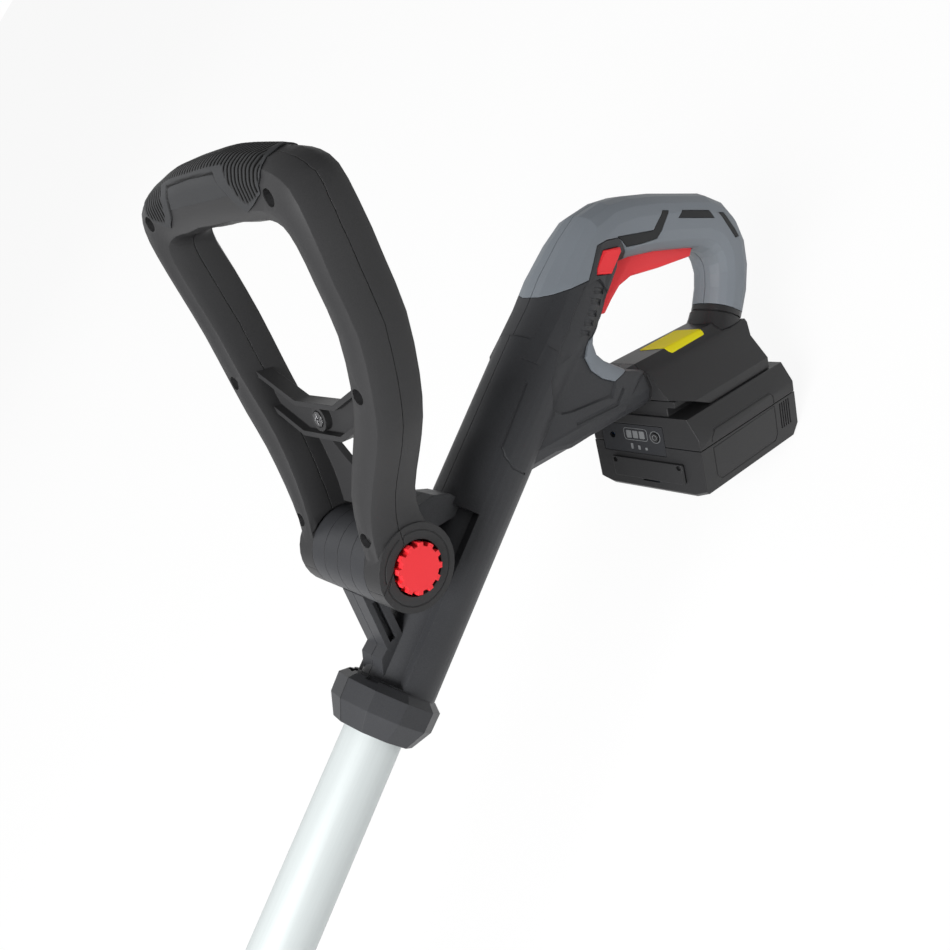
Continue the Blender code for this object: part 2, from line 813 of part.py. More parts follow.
def handle_ring(station, side, grow=0.0):
    """A chamfered section of the loop handle on one side of the tube."""
    x, y, z, width, depth, slope, lean, flare, taper = station
    angle = math.radians(slope)
    deep = Vector((math.sin(angle), 0.0, -math.cos(angle)))
    along = Vector((math.cos(angle), 0.0, math.sin(angle)))
    tip = math.radians(lean)
    wide = Vector((0.0, -1.0, 0.0)) * math.cos(tip) + along * math.sin(tip)
    half_width = width / 2.0 + grow
    half_depth = depth / 2.0 + grow
    chamfer = CHAMFER_SHARE * min(width, depth)
    soft = chamfer * 0.32
    corner = [
        (half_width, half_depth - chamfer),
        (half_width - soft, half_depth - soft),
        (half_width - chamfer, half_depth),
    ]
    section = list(corner)
    section += [(-u, v) for u, v in reversed(corner)]
    section += [(-u, -v) for u, v in corner]
    section += [(u, -v) for u, v in reversed(corner)]
    level = math.cos(tip) ** 2
    ring = []
    for u, v in section:
        rearward = (v / half_depth + 1.0) / 2.0
        shift = flare * rearward if u > 0.0 else taper * (1.0 - rearward)
        ring.append(Vector((x, y, z)) + wide * (u + shift * level) + deep * v)
    if side > 0.0:
        return [Vector((point.x, -point.y, point.z)) for point in ring]
    return ring


def handle_solid(grow=0.0):
    """The whole loop of the handle, from hub to hub."""
    stations = smooth_route(ARM_LINE, ARM_STEPS)
    right = [handle_ring(station, -1.0, grow) for station in stations]
    left = [handle_ring(station, 1.0, grow) for station in reversed(stations)]
    return loft(right + left)


def front_region(gap):
    """Everything in front of the surface that parts the loop handle."""
    spine = [(station[0], station[2]) for station in ARM_LINE[1:-1]]
    slope = math.radians(BAR_SLOPE)
    top = (spine[-1][0] + 0.04 * math.cos(slope), spine[-1][1] + 0.04 * math.sin(slope))
    start = (spine[0][0] - 0.0060, spine[0][1] - 0.0070)
    edge = [start] + spine + [top]
    outline = [(x - gap * 0.8, z + gap * 0.6) for x, z in edge]
    outline += [(0.1000, 0.2600), (-0.0500, 0.1000), (0.0500, start[1] - 0.0020 + gap)]
    return prism(outline, -0.1000, 0.1000)


def along_normal(shape, slope, point):
    """Sets a shape turned about X into the handle, square to its front face."""
    angle = math.radians(slope)
    deep = Vector((math.sin(angle), 0.0, -math.cos(angle)))
    turn = deep.to_track_quat("X", "Z").to_matrix().to_4x4()
    return moved(shape, Matrix.Translation(point) @ turn)


def screw(head_radius, shank_radius, head, length):
    """A screw with a cross recess, its head at the origin and its shank along +X."""
    profile = [
        (0.0, 0.0),
        (0.0, head_radius),
        (head, head_radius),
        (head, shank_radius),
        (length, shank_radius),
        (length + shank_radius, 0.0),
    ]
    shape = turned(profile, "X", 8)
    slot = head_radius * 0.16
    reach = head_radius * 0.6
    cross = prism(
        [
            (slot, slot),
            (slot, reach),
            (-slot, reach),
            (-slot, slot),
            (-reach, slot),
            (-reach, -slot),
            (-slot, -slot),
            (-slot, -reach),
            (slot, -reach),
            (slot, -slot),
            (reach, -slot),
            (reach, slot),
        ],
        -0.001,
        head * 0.5,
        "X",
    )
    return cut(shape, cross)


def crossbar_solid():
    """The flanged bar between the arms with its screw boss, in front of the middle surface."""
    half_span = 0.0500
    flange = 0.0024
    outline = [
        (-half_span, 0.0220),
        (-0.0160, CROSSBAR_TOP),
        (0.0160, CROSSBAR_TOP),
        (half_span, 0.0220),
        (half_span, 0.0060),
        (0.0160, -CROSSBAR_HALF),
        (-0.0160, -CROSSBAR_HALF),
        (-half_span, 0.0060),
    ]
    bar = prism(outline, -CROSSBAR_DEPTH, 0.0, "X")
    cut(bar, prism(offset(outline, -flange), -CROSSBAR_DEPTH - 0.0020, -CROSSBAR_DEPTH / 2.0, "X"))
    fuse(bar, rod(BOSS_FRONT, BOSS_REAR, BOSS_RADIUS, "X", 16))
    cut(bar, rod(BOSS_FRONT - 0.0050, BOSS_FRONT + 0.0025, 0.0040, "X", 16))
    return cut(bar, rod(BOSS_FRONT, BOSS_REAR - 0.0006, SHANK_RADIUS + GAP, "X", 12))


def yoke_plate():
    """The plate between the arms' rear sides under the crossbar, with a notch in its top."""
    right = [
        (-0.0420, -0.0080),
        (-0.0210, -0.0080),
        (-0.0167, -0.0157),
        (-0.0070, -0.0245),
        (0.0, -0.0300),
    ]
    foot = [(-0.0320, -0.0300), (-0.0260, -0.0475)]
    outline = right + [(-across, height) for across, height in reversed(right[:-1])]
    outline += [(-across, height) for across, height in foot] + list(reversed(foot))
    return prism(outline, 0.0048, 0.0084, "X")


def crossbar_frame():
    """The frame of the crossbar: X into the handle, Z up along it."""
    x, y, z, slope = CROSSBAR_PLACE
    angle = math.radians(slope)
    deep = Vector((math.sin(angle), 0.0, -math.cos(angle)))
    up = Vector((math.cos(angle), 0.0, math.sin(angle)))
    wide = up.cross(deep)
    turn = Matrix((deep, wide, up)).transposed().to_4x4()
    return Matrix.Translation((x, y, z)) @ turn


def bolt_bore():
    """The bore along the hub's axis."""
    return rod(-0.0500, 0.0500, BOLT_RADIUS + GAP, "Y", 12, tuple(HUB))


def hub_slice(side, start, end, grow=0.0, count=32):
    """A slice of the hub between two distances from the middle plane, on one side."""
    near, far = sorted((side * start, side * end))
    return rod(near, far, HUB_RADIUS + grow, "Y", count, tuple(HUB))


def bar_frame():
    """The frame of the top bar: Y along it, Z out of its top."""
    place = Matrix.Translation((ARM_LINE[-1][0], 0.0, ARM_LINE[-1][2]))
    return place @ Matrix.Rotation(math.radians(90.0 - BAR_SLOPE), 4, "Y")


def loop_blank():
    """The loop handle with its hub ends, bores and the seat of its soft pad, before it is parted."""
    loop = handle_solid()
    for side in (-1.0, 1.0):
        fuse(loop, hub_slice(side, HUB_RING_EDGE + GAP, HUB_HALF))
        cut(loop, hub_slice(side, 0.0100, HUB_RING_EDGE + GAP, 0.0012))
    pad_room = block((-0.0500, 0.0500), (-PAD_HALF - GAP, PAD_HALF + GAP), (0.0000, 0.0600))
    moved(pad_room, bar_frame())
    cut(pad_room, handle_solid(-PAD_THICKNESS))
    cut(loop, pad_room)
    knob_floor = -HUB_HALF + KNOB_DEPTH + KNOB_TRAVEL
    cut(loop, rod(-HUB_HALF - 0.0050, knob_floor, KNOB_RADIUS + 0.0010, "Y", 32, tuple(HUB)))
    cut(loop, bolt_bore())
    return cut(loop, rod(BOLT_SEAT, 0.0500, BOLT_HEAD_RADIUS + GAP, "Y", 16, tuple(HUB)))


def fit_handle_screws(loop, frame, steel):
    """Bores the loop handle for its six screws, and makes them."""
    number = 0
    for x, y, z, slope in HANDLE_SCREWS:
        for side in (-1.0, 1.0):
            number += 1
            mouth = (x, side * y, z)
            shank_end = SCREW_SEAT + SCREW_LENGTH + 0.0020
            cut(loop, along_normal(rod(-0.0100, SCREW_SEAT, SCREW_RADIUS, "X", 12), slope, mouth))
            cut(loop, along_normal(rod(0.0, shank_end, SHANK_RADIUS + GAP, "X", 8), slope, mouth))
            piece = screw(0.0029, SHANK_RADIUS, 0.0022, SCREW_LENGTH)
            along_normal(shifted(piece, x=SCREW_SEAT - 0.0022 - GAP), slope, mouth)
            finish("handle_screw_%d" % number, piece, frame, steel)


def make_handle(frame):
    """Loop handle halves, its screws and its soft pad."""
    black = material("handle_black", BLACK, 0.5)
    steel = material("steel", STEEL, 0.35, 1.0)
    loop = loop_blank()
    fit_handle_screws(loop, frame, steel)
    front = common(copy_of(loop), front_region(GAP))
    rear = cut(loop, front_region(0.0))
    middle = crossbar_frame()
    bar = moved(crossbar_solid(), middle)
    fuse(front, cut(bar, cut(handle_solid(GAP), front_region(GAP))))
    yoke = moved(yoke_plate(), middle)
    fuse(rear, cut(yoke, common(handle_solid(GAP), front_region(0.0))))
    length = BOSS_REAR - BOSS_FRONT - 0.0034
    piece = shifted(screw(0.0036, SHANK_RADIUS, 0.0024, length), x=BOSS_FRONT - GAP)
    finish("crossbar_screw", moved(piece, middle), frame, steel)
    finish("handle_front", front, frame, black)
    finish("handle_rear", rear, frame, black)
    pad = block((-0.0500, 0.0500), (-PAD_HALF, PAD_HALF), (GAP, 0.0600))
    moved(pad, bar_frame())
    common(pad, handle_solid())
    cut(pad, handle_solid(-PAD_THICKNESS + GAP))
    finish("handle_pad", pad, frame, material("pad_rubber", DARK, 0.75))


def make_hub(frame):
    """Hub rings, hinge bolt, lock knob and its spring."""
    black = material("handle_black", BLACK, 0.5)
    steel = material("steel", STEEL, 0.35, 1.0)
    for side, word in ((-1.0, "left"), (1.0, "right")):
        ring = hub_slice(side, HUB_CORE_HALF + GAP, HUB_RING_EDGE)
        finish("hub_ring_" + word, cut(ring, bolt_bore()), frame, black)
    knob_floor = -HUB_HALF + KNOB_DEPTH + KNOB_TRAVEL
    profile = [
        (knob_floor - 0.0060, 0.0),
        (knob_floor - 0.0060, BOLT_RADIUS),
        (BOLT_SEAT + GAP, BOLT_RADIUS),
        (BOLT_SEAT + GAP, BOLT_HEAD_RADIUS),
        (HUB_HALF - 0.0008, BOLT_HEAD_RADIUS - 0.0010),
        (HUB_HALF - 0.0008, 0.0),
    ]
    bolt = turned(profile, "Y", 20, tuple(HUB))
    slot = ((HUB_X - 0.005, HUB_X + 0.005), (HUB_HALF - 0.0025, 0.05), (HUB_Z - 0.0009, HUB_Z + 0.0009))
    finish("hinge_bolt", cut(bolt, block(*slot)), frame, steel)
    top = -HUB_HALF - KNOB_PROUD
    knob = prism(knob_outline(), top, top + KNOB_DEPTH - 0.0020)
    shifted(knob, x=HUB_X, z=HUB_Z)
    fuse(knob, rod(top + 0.0030, top + KNOB_DEPTH, KNOB_RADIUS - 0.0030, "Y", 24, tuple(HUB)))
    cut(knob, rod(top + 0.0030, 0.05, BOLT_RADIUS + GAP, "Y", 12, tuple(HUB)))
    finish("lock_knob", knob, frame, material("red", RED, 0.35))
    pressed = top + KNOB_DEPTH + KNOB_TRAVEL
    spring = pipe(pressed + GAP, knob_floor - GAP, 0.0060, 0.0045, "Y", 16, tuple(HUB))
    finish("knob_spring", spring, frame, steel)


def make_controls(trigger_frame, root):
    """Trigger, its spring and switch, and the lock-off button."""
    red = material("red", RED, 0.35)
    steel = material("steel", STEEL, 0.35, 1.0)
    trigger = bevel_caps(prism(trigger_outline(), -TRIGGER_HALF, TRIGGER_HALF), "Y", 0.0018)
    finish("trigger", trigger, trigger_frame, red)
    turn = Matrix.Rotation(math.radians(SWITCH_SLOPE), 4, "Y")
    middle = Matrix.Translation(SWITCH_PLACE)
    switch = block((-0.0075, 0.0075), (-0.0132, 0.0132), (-0.0035, 0.0035))
    moved(switch, middle @ turn)
    finish("trigger_switch", switch, root, material("switch_black", DARK, 0.4))
    spring = rod(-SPRING_REACH, -0.0035 - GAP, 0.0028, "Z", 12)
    moved(spring, middle @ turn)
    cut(spring, trigger_room())
    finish("trigger_spring", spring, root, steel)
    reach = BODY_HALF_WIDTH + LOCK_OFF_PROUD
    lock = bevel_caps(prism(lock_off_outline(), -reach, reach), "Y", 0.0008, 1)
    finish("lock_off_button", lock, root, red)


def case_ring(along, grow=0.0, lean=0.0):
    """The battery case's section, square to its slide."""
    half = PACK_HALF_WIDTH + grow
    section = [
        (PACK_BASE - grow + lean, half - CASE_EDGE_WIDTH),
        (PACK_BASE + CASE_EDGE_HEIGHT + lean, half),
        (0.0630, half),
        (PACK_TOP + grow, half - 0.0065),
    ]
    mirrored = [(height, -across) for height, across in reversed(section)]
    return [Vector((along, across, height)) for height, across in section + mirrored]


def case_solid():
    """The battery case, with the lower edges of its ends chamfered."""
    rear = PACK_FRONT + PACK_LENGTH
    nose = case_ring(PACK_FRONT, 0.0, CASE_NOSE)
    middle = [case_ring(PACK_FRONT + CASE_NOSE), case_ring(rear - CASE_REAR_EDGE)]
    return loft([nose, *middle, case_ring(rear, 0.0, CASE_REAR_EDGE)])


def case_room():
    """The room inside the battery case."""
    rear = PACK_FRONT + PACK_LENGTH
    return loft([
        case_ring(PACK_FRONT + PACK_WALL, -PACK_WALL),
        case_ring(rear - CASE_REAR_EDGE - PACK_WALL * 0.42, -PACK_WALL),
        case_ring(rear - PACK_WALL, -PACK_WALL, CASE_REAR_EDGE),
    ])


def tongue_solid():
    """The rails on top of the case that run in the dock."""
    low = PACK_TOP - 0.0020
    run = (PACK_FRONT + 0.0022, DOCK_END - 0.0036)
    core = block(run, (-TONGUE_HALF, TONGUE_HALF), (low, FLANGE_BASE + 0.0010))
    return fuse(core, block(run, (-FLANGE_HALF, FLANGE_HALF), (FLANGE_BASE, TONGUE_TOP)))


def gauge_bore():
    """The hole of the gauge's button through the case's front."""
    return rod(PACK_FRONT - 0.0010, PACK_FRONT + 0.0040, 0.0030, "X", 16, GAUGE_BUTTON)


def make_case(frame):
    """Lower and upper halves of the battery's case."""
    dark = material("battery_black", DARK, 0.5)
    case = cut(fuse(case_solid(), tongue_solid()), case_room())
    rear = PACK_FRONT + PACK_LENGTH
    for side in (-1.0, 1.0):
        low, high = sorted((side * 0.0070, side * 0.0094))
        cut(case, block((0.2600, 0.3300), (low, high), (PACK_TOP + 0.0015, 0.0900)))
    strap = (STRAP_START - GAP, STRAP_START + STRAP_THICKNESS + GAP)
    cut(case, block(strap, (-0.0053, 0.0053), (PACK_TOP - 0.0060, 0.0900)))
    cut(case, block((PACK_FRONT - 0.001, PACK_FRONT + 0.004), (-0.0063, 0.0063), (0.0322, 0.0446)))
    cut(case, block((PACK_FRONT - 0.001, PACK_FRONT + 0.0012), (-0.0150, 0.0330), (0.0500, 0.0690)))
    cut(case, gauge_bore())
    lower = cut(copy_of(case), block((0.2, 0.4), (-0.06, 0.06), (PACK_SPLIT, 0.12)))
    upper = cut(case, block((0.2, 0.4), (-0.06, 0.06), (0.0, PACK_SPLIT + GAP)))
    for side in (-1.0, 1.0):
        across = sorted((side * (PACK_HALF_WIDTH - 0.0008), side * (PACK_HALF_WIDTH + 0.0020)))
        for rib in range(CASE_RIBS):
            start = rear - 0.0180 + rib * CASE_RIB_PITCH
            cut(lower, block((start, start + CASE_RIB_PITCH / 2.0), across, (0.0380, PACK_SPLIT - 0.0015)))
    finish("battery_case_lower", lower, frame, dark, local=True)
    finish("battery_case_upper", upper, frame, dark, local=True)


def make_cells(frame):
    """The cells in their holder, and the battery's board over them."""
    rear = PACK_FRONT + PACK_LENGTH
    cells = block((PACK_FRONT + 0.0060, rear - 0.0080), (-0.0010, 0.0010), (0.0400, 0.0640))
    base = PACK_BASE + PACK_WALL + 0.0016 + CELL_RADIUS
    first = PACK_FRONT + PACK_WALL + CELL_SLACK + CELL_RADIUS
    for layer in range(2):
        for place in range(CELLS_IN_LAYER):
            along = first + place * CELL_PITCH - 0.0004 * layer
            centre = (along, 0.0, base + layer * CELL_PITCH * 0.995)
            end = CELL_LENGTH / 2.0 + 0.0001 * ((place + layer) % 2)
            fuse(cells, rod(-end, end, CELL_RADIUS, "Y", 10, centre))
    finish("cell_block", cells, frame, material("cell_blue", BLUE, 0.4), local=True)
    board_base = base + CELL_PITCH + CELL_RADIUS + GAP
    board_top = PACK_TOP - PACK_WALL - GAP
    board = block((PACK_FRONT + 0.0080, rear - 0.0200), (-0.0280, 0.0280), (board_base, board_top))
    finish("battery_board", board, frame, material("board_green", GREEN, 0.5), local=True)


def make_battery(frame):
    """Case halves, cells, board, gauge and latch."""
    make_case(frame)
    make_cells(frame)
    panel = block((PACK_FRONT + 0.0002, PACK_FRONT + 0.0012 - GAP), (-0.0147, 0.0327), (0.0503, 0.0687))
    cut(panel, gauge_bore())
    finish("gauge_panel", panel, frame, material("gauge_black", DARK, 0.2), local=True)
    button = rod(PACK_FRONT - 0.0005, PACK_FRONT + 0.0020, 0.0030 - GAP, "X", 16, GAUGE_BUTTON)
    finish("gauge_button", button, frame, material("button_grey", GREY, 0.5), local=True)
    strap_end = STRAP_START + STRAP_THICKNESS
    latch = block((PACK_FRONT - 0.0022, PACK_FRONT - GAP), (-0.0270, 0.0270), (0.0345, 0.0470))
    bevel_caps(latch, "Y", 0.0010, 1)
    fuse(latch, block((PACK_FRONT - 0.0010, strap_end - 0.0002), (-0.0060, 0.0060), (0.0365, 0.0442)))
    fuse(latch, block((STRAP_START, strap_end), (-0.0050, 0.0050), (0.0368, TONGUE_TOP - 0.0004)))
    finish("battery_latch", latch, frame, material("battery_black", DARK, 0.5), local=True)


def dock_shell():
    """The dock's outer form, with its cut-back nose and its sloped rear."""
    section = [
        (PACK_TOP + GAP, 0.0320),
        (0.0820, 0.0320),
        (0.1030, 0.0170),
        (0.1080, 0.0100),
    ]
    section += [(height, -across) for height, across in reversed(section)]
    start, end = DOCK_START + 0.0020, DOCK_END + DOCK_OVERHANG
    dock = loft([[Vector((along, y, h)) for h, y in section] for along in (start, end)])
    under = [
        (start - 0.0100, 0.0700),
        (start + 0.0320, 0.0700),
        (start + 0.0310, PACK_TOP + GAP),
        (start + 0.0180, 0.0815),
        (start + 0.0010, 0.0880),
        (start - 0.0100, 0.0900),
    ]
    rear_slope = [
        (end - 0.0015, 0.1200),
        (end - 0.0010, 0.1065),
        (DOCK_END, 0.0960),
        (DOCK_END, 0.0600),
        (DOCK_END + 0.0500, 0.0600),
        (DOCK_END + 0.0500, 0.1200),
    ]
    cut(dock, prism(under, -0.0500, 0.0500), prism(rear_slope, -0.0500, 0.0500))
    for side in (-1.0, 1.0):
        edge = side * 0.0400
        nose = [(start - 0.0050, side * 0.0180), (start + 0.0070, edge), (start - 0.0050, edge)]
        cut(dock, prism(nose, 0.0600, 0.1200, "Z"))
    return fuse(dock, loft([strut_ring(along) for along in (DOCK_START, DOCK_END - 0.0100)]))


def post_place(distance, swell, slip=0.0):
    """A ring round the grip's lower end, at a distance below the post's end."""
    x, z, half_depth, half_width, angle = GRIP_LINE[POST_END]
    slope = math.radians(angle)
    direction = Vector((math.cos(slope), 0.0, -math.sin(slope)))
    place = Vector((x, 0.0, z)) + direction * (distance + slip)
    return grip_ring((place.x, place.z, half_depth - 0.0003 + swell, half_width + swell, angle))


def post_ring():
    """The grooved ring that the grip's post stands in."""
    ring = loft([
        post_place(GAP, 0.0),
        post_place(0.0035, 0.0),
        post_place(0.0035, -0.0008, 0.0003),
        post_place(0.0045, -0.0008),
        post_place(0.0045, 0.0006, 0.0003),
        post_place(0.0085, 0.0008),
        post_place(0.0160, 0.0020),
    ])
    room = block((0.2400, DOCK_END + 0.0200), (-0.0400, 0.0400), (0.0500, STRUT_TOP - 0.0050))
    return cut(ring, moved(room, PACK_FRAME))


def make_dock(frame):
    """The dock that the battery slides into, its terminal block and the ring under the post."""
    dark = material("dock_black", DARK, 0.55)
    dock = dock_shell()
    ceiling = TONGUE_TOP + 0.0008
    inner_end = DOCK_END - 0.0030
    channel_half = FLANGE_HALF + 0.0005
    mouth_half = TONGUE_HALF + 0.0005
    channel = block((0.2000, inner_end), (-channel_half, channel_half), (FLANGE_BASE - 0.0005, ceiling))
    mouth = block((0.2000, inner_end + 0.0001), (-mouth_half, mouth_half), (0.0700, FLANGE_BASE + 0.0010))
    bay = (DOCK_START - 0.0050, DOCK_END - 0.0200)
    cut(dock, channel, mouth, block(bay, (-0.0128, 0.0128), (ceiling - 0.0010, STRUT_TOP - 0.0060)))
    seat = loft([post_place(distance, 0.0023) for distance in (0.0, 0.0200)])
    moved(seat, PACK_FRAME.inverted())
    rear_top = block((0.2400, DOCK_END + 0.0200), (-0.0400, 0.0400), (STRUT_TOP - 0.0050 - GAP, 0.1600))
    cut(dock, common(seat, rear_top))
    finish("battery_dock", dock, frame, dark, local=True)
    finish("post_ring", post_ring(), frame, dark)
    bay = (TERMINAL_START, TERMINAL_START + 0.0300)
    terminals = block(bay, (-0.0125, 0.0125), (STRUT_BASE + 0.0010, 0.0980))
    for side in (-1.0, 1.0):
        blade = sorted((side * 0.0078, side * 0.0086))
        fuse(terminals, block((0.2640, 0.2760), blade, (PACK_TOP + 0.0035, STRUT_BASE + 0.0020)))
    finish("terminal_block", terminals, frame, material("terminal_black", DARK, 0.4), local=True)


def make_tube(root):
    """The metal tube between the housing and the cutting head."""
    tube = pipe(-TUBE_REACH, TUBE_SOCKET, TUBE_RADIUS, TUBE_RADIUS - TUBE_WALL, "X", 24)
    finish("main_tube", tube, root, material("tube_alloy", ALLOY, 0.3, 0.6))


def make_electronics(root):
    """Controller board, and the leads to the battery's terminals and to the motor."""
    reach = PIPE_RADIUS - WALL - GAP - 0.0001
    board = block((BOARD_START, BOARD_END), (-reach, reach), (-0.0008, 0.0008))
    finish("controller_board", board, root, material("board_green", GREEN, 0.5))
    lead = material("lead_black", DARK, 0.5)
    route = [
        (BOARD_END + GAP, 0.0, 0.0),
        (BOARD_END + 0.0060, 0.0, -0.0030),
        (BOARD_END + 0.0140, 0.0, -0.0135),
        pack_point(0.1500, 0.0, 0.1020),
        pack_point(0.1650, 0.0, 0.0985),
        pack_point(0.2000, 0.0, 0.0960),
        pack_point(0.2300, 0.0, 0.0940),
        pack_point(TERMINAL_START - 0.0060, 0.0, 0.0930),
        pack_point(TERMINAL_START - GAP, 0.0, 0.0930),
    ]
    wire("battery_leads", smooth_route(route, 3), LEAD_RADIUS, root, lead)
    axis = HEAD_FRAME.to_3x3()
    top = HEAD_FRAME @ Vector((0.0080, 0.0, MOTOR_BASE + MOTOR_LENGTH + GAP))
    near = top + axis @ Vector((0.0, 0.0, 0.0020))
    above = top + axis @ Vector((0.0, 0.0, 0.0070))
    route = [
        (BOARD_START - GAP, 0.0, 0.0),
        (BOARD_START - 0.0150, 0.0, 0.0),
        (0.0, 0.0, 0.0),
        (-TUBE_REACH / 2.0, 0.0, 0.0),
        (-TUBE_REACH, 0.0, 0.0),
        (-TUBE_REACH - 0.0200, 0.0, 0.0),
        above,
        near,
        top,
    ]
    wire("motor_lead", smooth_route(route, 3), LEAD_RADIUS, root, lead)


def guard_land_x():
    """How far the flat at the guard's rear lies from the spool's axis."""
    return GUARD_REACH * math.cos(math.asin(GUARD_LAND / GUARD_REACH))


def guard_outline(grow=0.0):
    """Plan of the guard, as x towards the user and y across, from the spool's axis."""
    spread = math.radians(GUARD_SPREAD)
    land_angle = math.asin(GUARD_LAND / GUARD_REACH)
    outline = []
    for step in range(9):
        angle = math.pi - math.radians(100.0) + math.radians(200.0) * step / 8
        outline.append(((GUARD_NOSE + grow) * math.cos(angle), (GUARD_NOSE + grow) * math.sin(angle)))
    reach = GUARD_REACH + grow
    rim = []
    for step in range(6):
        angle = -spread + (spread - land_angle) * step / 6
        rim.append((reach * math.cos(angle), reach * math.sin(angle)))
    rim.append((guard_land_x() * reach / GUARD_REACH, -GUARD_LAND))
    return outline + rim + [(x, -y) for x, y in reversed(rim)]


def floor_drop():
    """Depth of the floor below the tube's axis, where the battery's lower rear edge rests."""
    return -pack_point(PACK_FRONT + PACK_LENGTH - CASE_REAR_EDGE, 0.0, PACK_BASE).z


def guard_depth():
    """Depth of the skirt, so that its rear edge meets the floor."""
    return (floor_drop() + HEAD_Z) / math.cos(HEAD_ANGLE) - guard_land_x()


def motor_shroud():
    """The motor's housing with the neck round the tube, before it is parted."""
    top = MOTOR_BASE + MOTOR_LENGTH
    shroud = turned(
        [
            (0.0, 0.0),
            (0.0, SHROUD_RADIUS + 0.0070),
            (0.0070, SHROUD_RADIUS + 0.0060),
            (0.0140, SHROUD_RADIUS),
            (top + 0.0020, SHROUD_RADIUS),
            (top + 0.0140, SHROUD_RADIUS - 0.0060),
            (top + 0.0190, SHROUD_RADIUS - 0.0150),
            (top + 0.0200, 0.0),
        ],
        "Z",
        24,
    )
    inverse = HEAD_FRAME.inverted()
    neck = rod(HEAD_X + 0.0450, -TUBE_REACH + NECK_LENGTH, NECK_RADIUS, "X", 24)
    band_start = -TUBE_REACH + NECK_LENGTH - 0.0120
    band = rod(band_start, band_start + 0.0150, NECK_RADIUS + 0.0025, "X", 24)
    fuse(shroud, moved(neck, inverse), moved(band, inverse))
    cut(shroud, moved(rod(-TUBE_REACH - GAP, 0.0, TUBE_RADIUS + GAP, "X", 24), inverse))
    cut(shroud, moved(rod(-TUBE_REACH - 0.0380, -TUBE_REACH, TUBE_RADIUS - 0.0040, "X", 16), inverse))
    cut(shroud, rod(MOTOR_BASE - GAP, top + GAP, MOTOR_RADIUS + GAP, "Z", 24))
    cut(shroud, rod(top, top + 0.0140, MOTOR_RADIUS - 0.0060, "Z", 24))
    cut(shroud, rod(-0.0100, MOTOR_BASE + 0.0010, 0.0100, "Z", 24))
    for i in range(VENT_PLACES):
        angle = 2.0 * math.pi * (i + 0.5) / VENT_PLACES
        if math.cos(angle) < 0.75:
            slot = block((SHROUD_RADIUS - 0.0045, SHROUD_RADIUS + 0.0100), (-0.0016, 0.0016), (0.0230, 0.0420))
            cut(shroud, moved(slot, Matrix.Rotation(angle, 4, "Z")))
    return shroud


def make_motor(frame, steel):
    """The motor's can and its rotor."""
    top = MOTOR_BASE + MOTOR_LENGTH
    can = rod(MOTOR_BASE, top, MOTOR_RADIUS, "Z", 24)
    cut(can, rod(MOTOR_BASE + 0.0020, top - 0.0020, MOTOR_RADIUS - 0.0020, "Z", 24))
    cut(can, rod(-0.0100, top + 0.0100, SHAFT_RADIUS + GAP, "Z", 16))
    finish("motor_can", can, frame, steel, local=True)
    rotor = rod(SPOOL_TOP - 0.0200, top + 0.0060, SHAFT_RADIUS, "Z", 16)
    fuse(rotor, rod(MOTOR_BASE + 0.0080, top - 0.0080, MOTOR_RADIUS - 0.0035, "Z", 24))
    finish("motor_rotor", rotor, frame, material("winding_copper", COPPER, 0.4, 0.6), local=True)


def make_guard(frame, black, steel):
    """The guard with its skirt, the line cutter on the skirt and the cutter's screw."""
    depth = guard_depth()
    guard = prism(guard_outline(), -depth, -GAP, "Z")
    cut(guard, prism(guard_outline(-GUARD_WALL), -depth - 0.01, -GUARD_WALL, "Z"))
    cut(guard, block((-0.1000, 0.0150), (-0.1000, 0.1000), (-depth - 0.01, -0.0100)))
    slope = prism([(0.0140, -0.0100), (0.0140, -depth - 0.01), (0.1000, -depth - 0.01)], -0.2000, 0.2000)
    cut(guard, slope)
    cut(guard, rod(-0.0500, 0.0500, 0.0105, "Z", 24))
    land_x = guard_land_x()
    face = land_x - GUARD_WALL - GAP
    foot = [
        (face, 0.0120),
        (face, 0.0315),
        (face - 0.0240, 0.0315),
        (face - 0.0200, 0.0300),
        (face - 0.0015, 0.0300),
        (face - 0.0015, 0.0120),
    ]
    blade = prism(foot, -depth * 0.870, -depth * 0.460, "Z")
    centre = (0.0, 0.0190, -depth * 0.665)
    cut(blade, rod(face - 0.0100, face + 0.0100, SHANK_RADIUS + GAP, "X", 10, centre))
    cut(guard, rod(face - 0.0100, face + 0.0100, SHANK_RADIUS + GAP, "X", 10, centre))
    finish("line_cutter", blade, frame, steel, local=True)
    fixing = moved(screw(0.0032, SHANK_RADIUS, 0.0018, 0.0070), Matrix.Rotation(math.pi, 4, "Z"))
    shifted(fixing, x=land_x + 0.0018 + GAP, y=centre[1], z=centre[2])
    finish("cutter_screw", fixing, frame, steel, local=True)
    finish("guard", guard, frame, black, local=True)


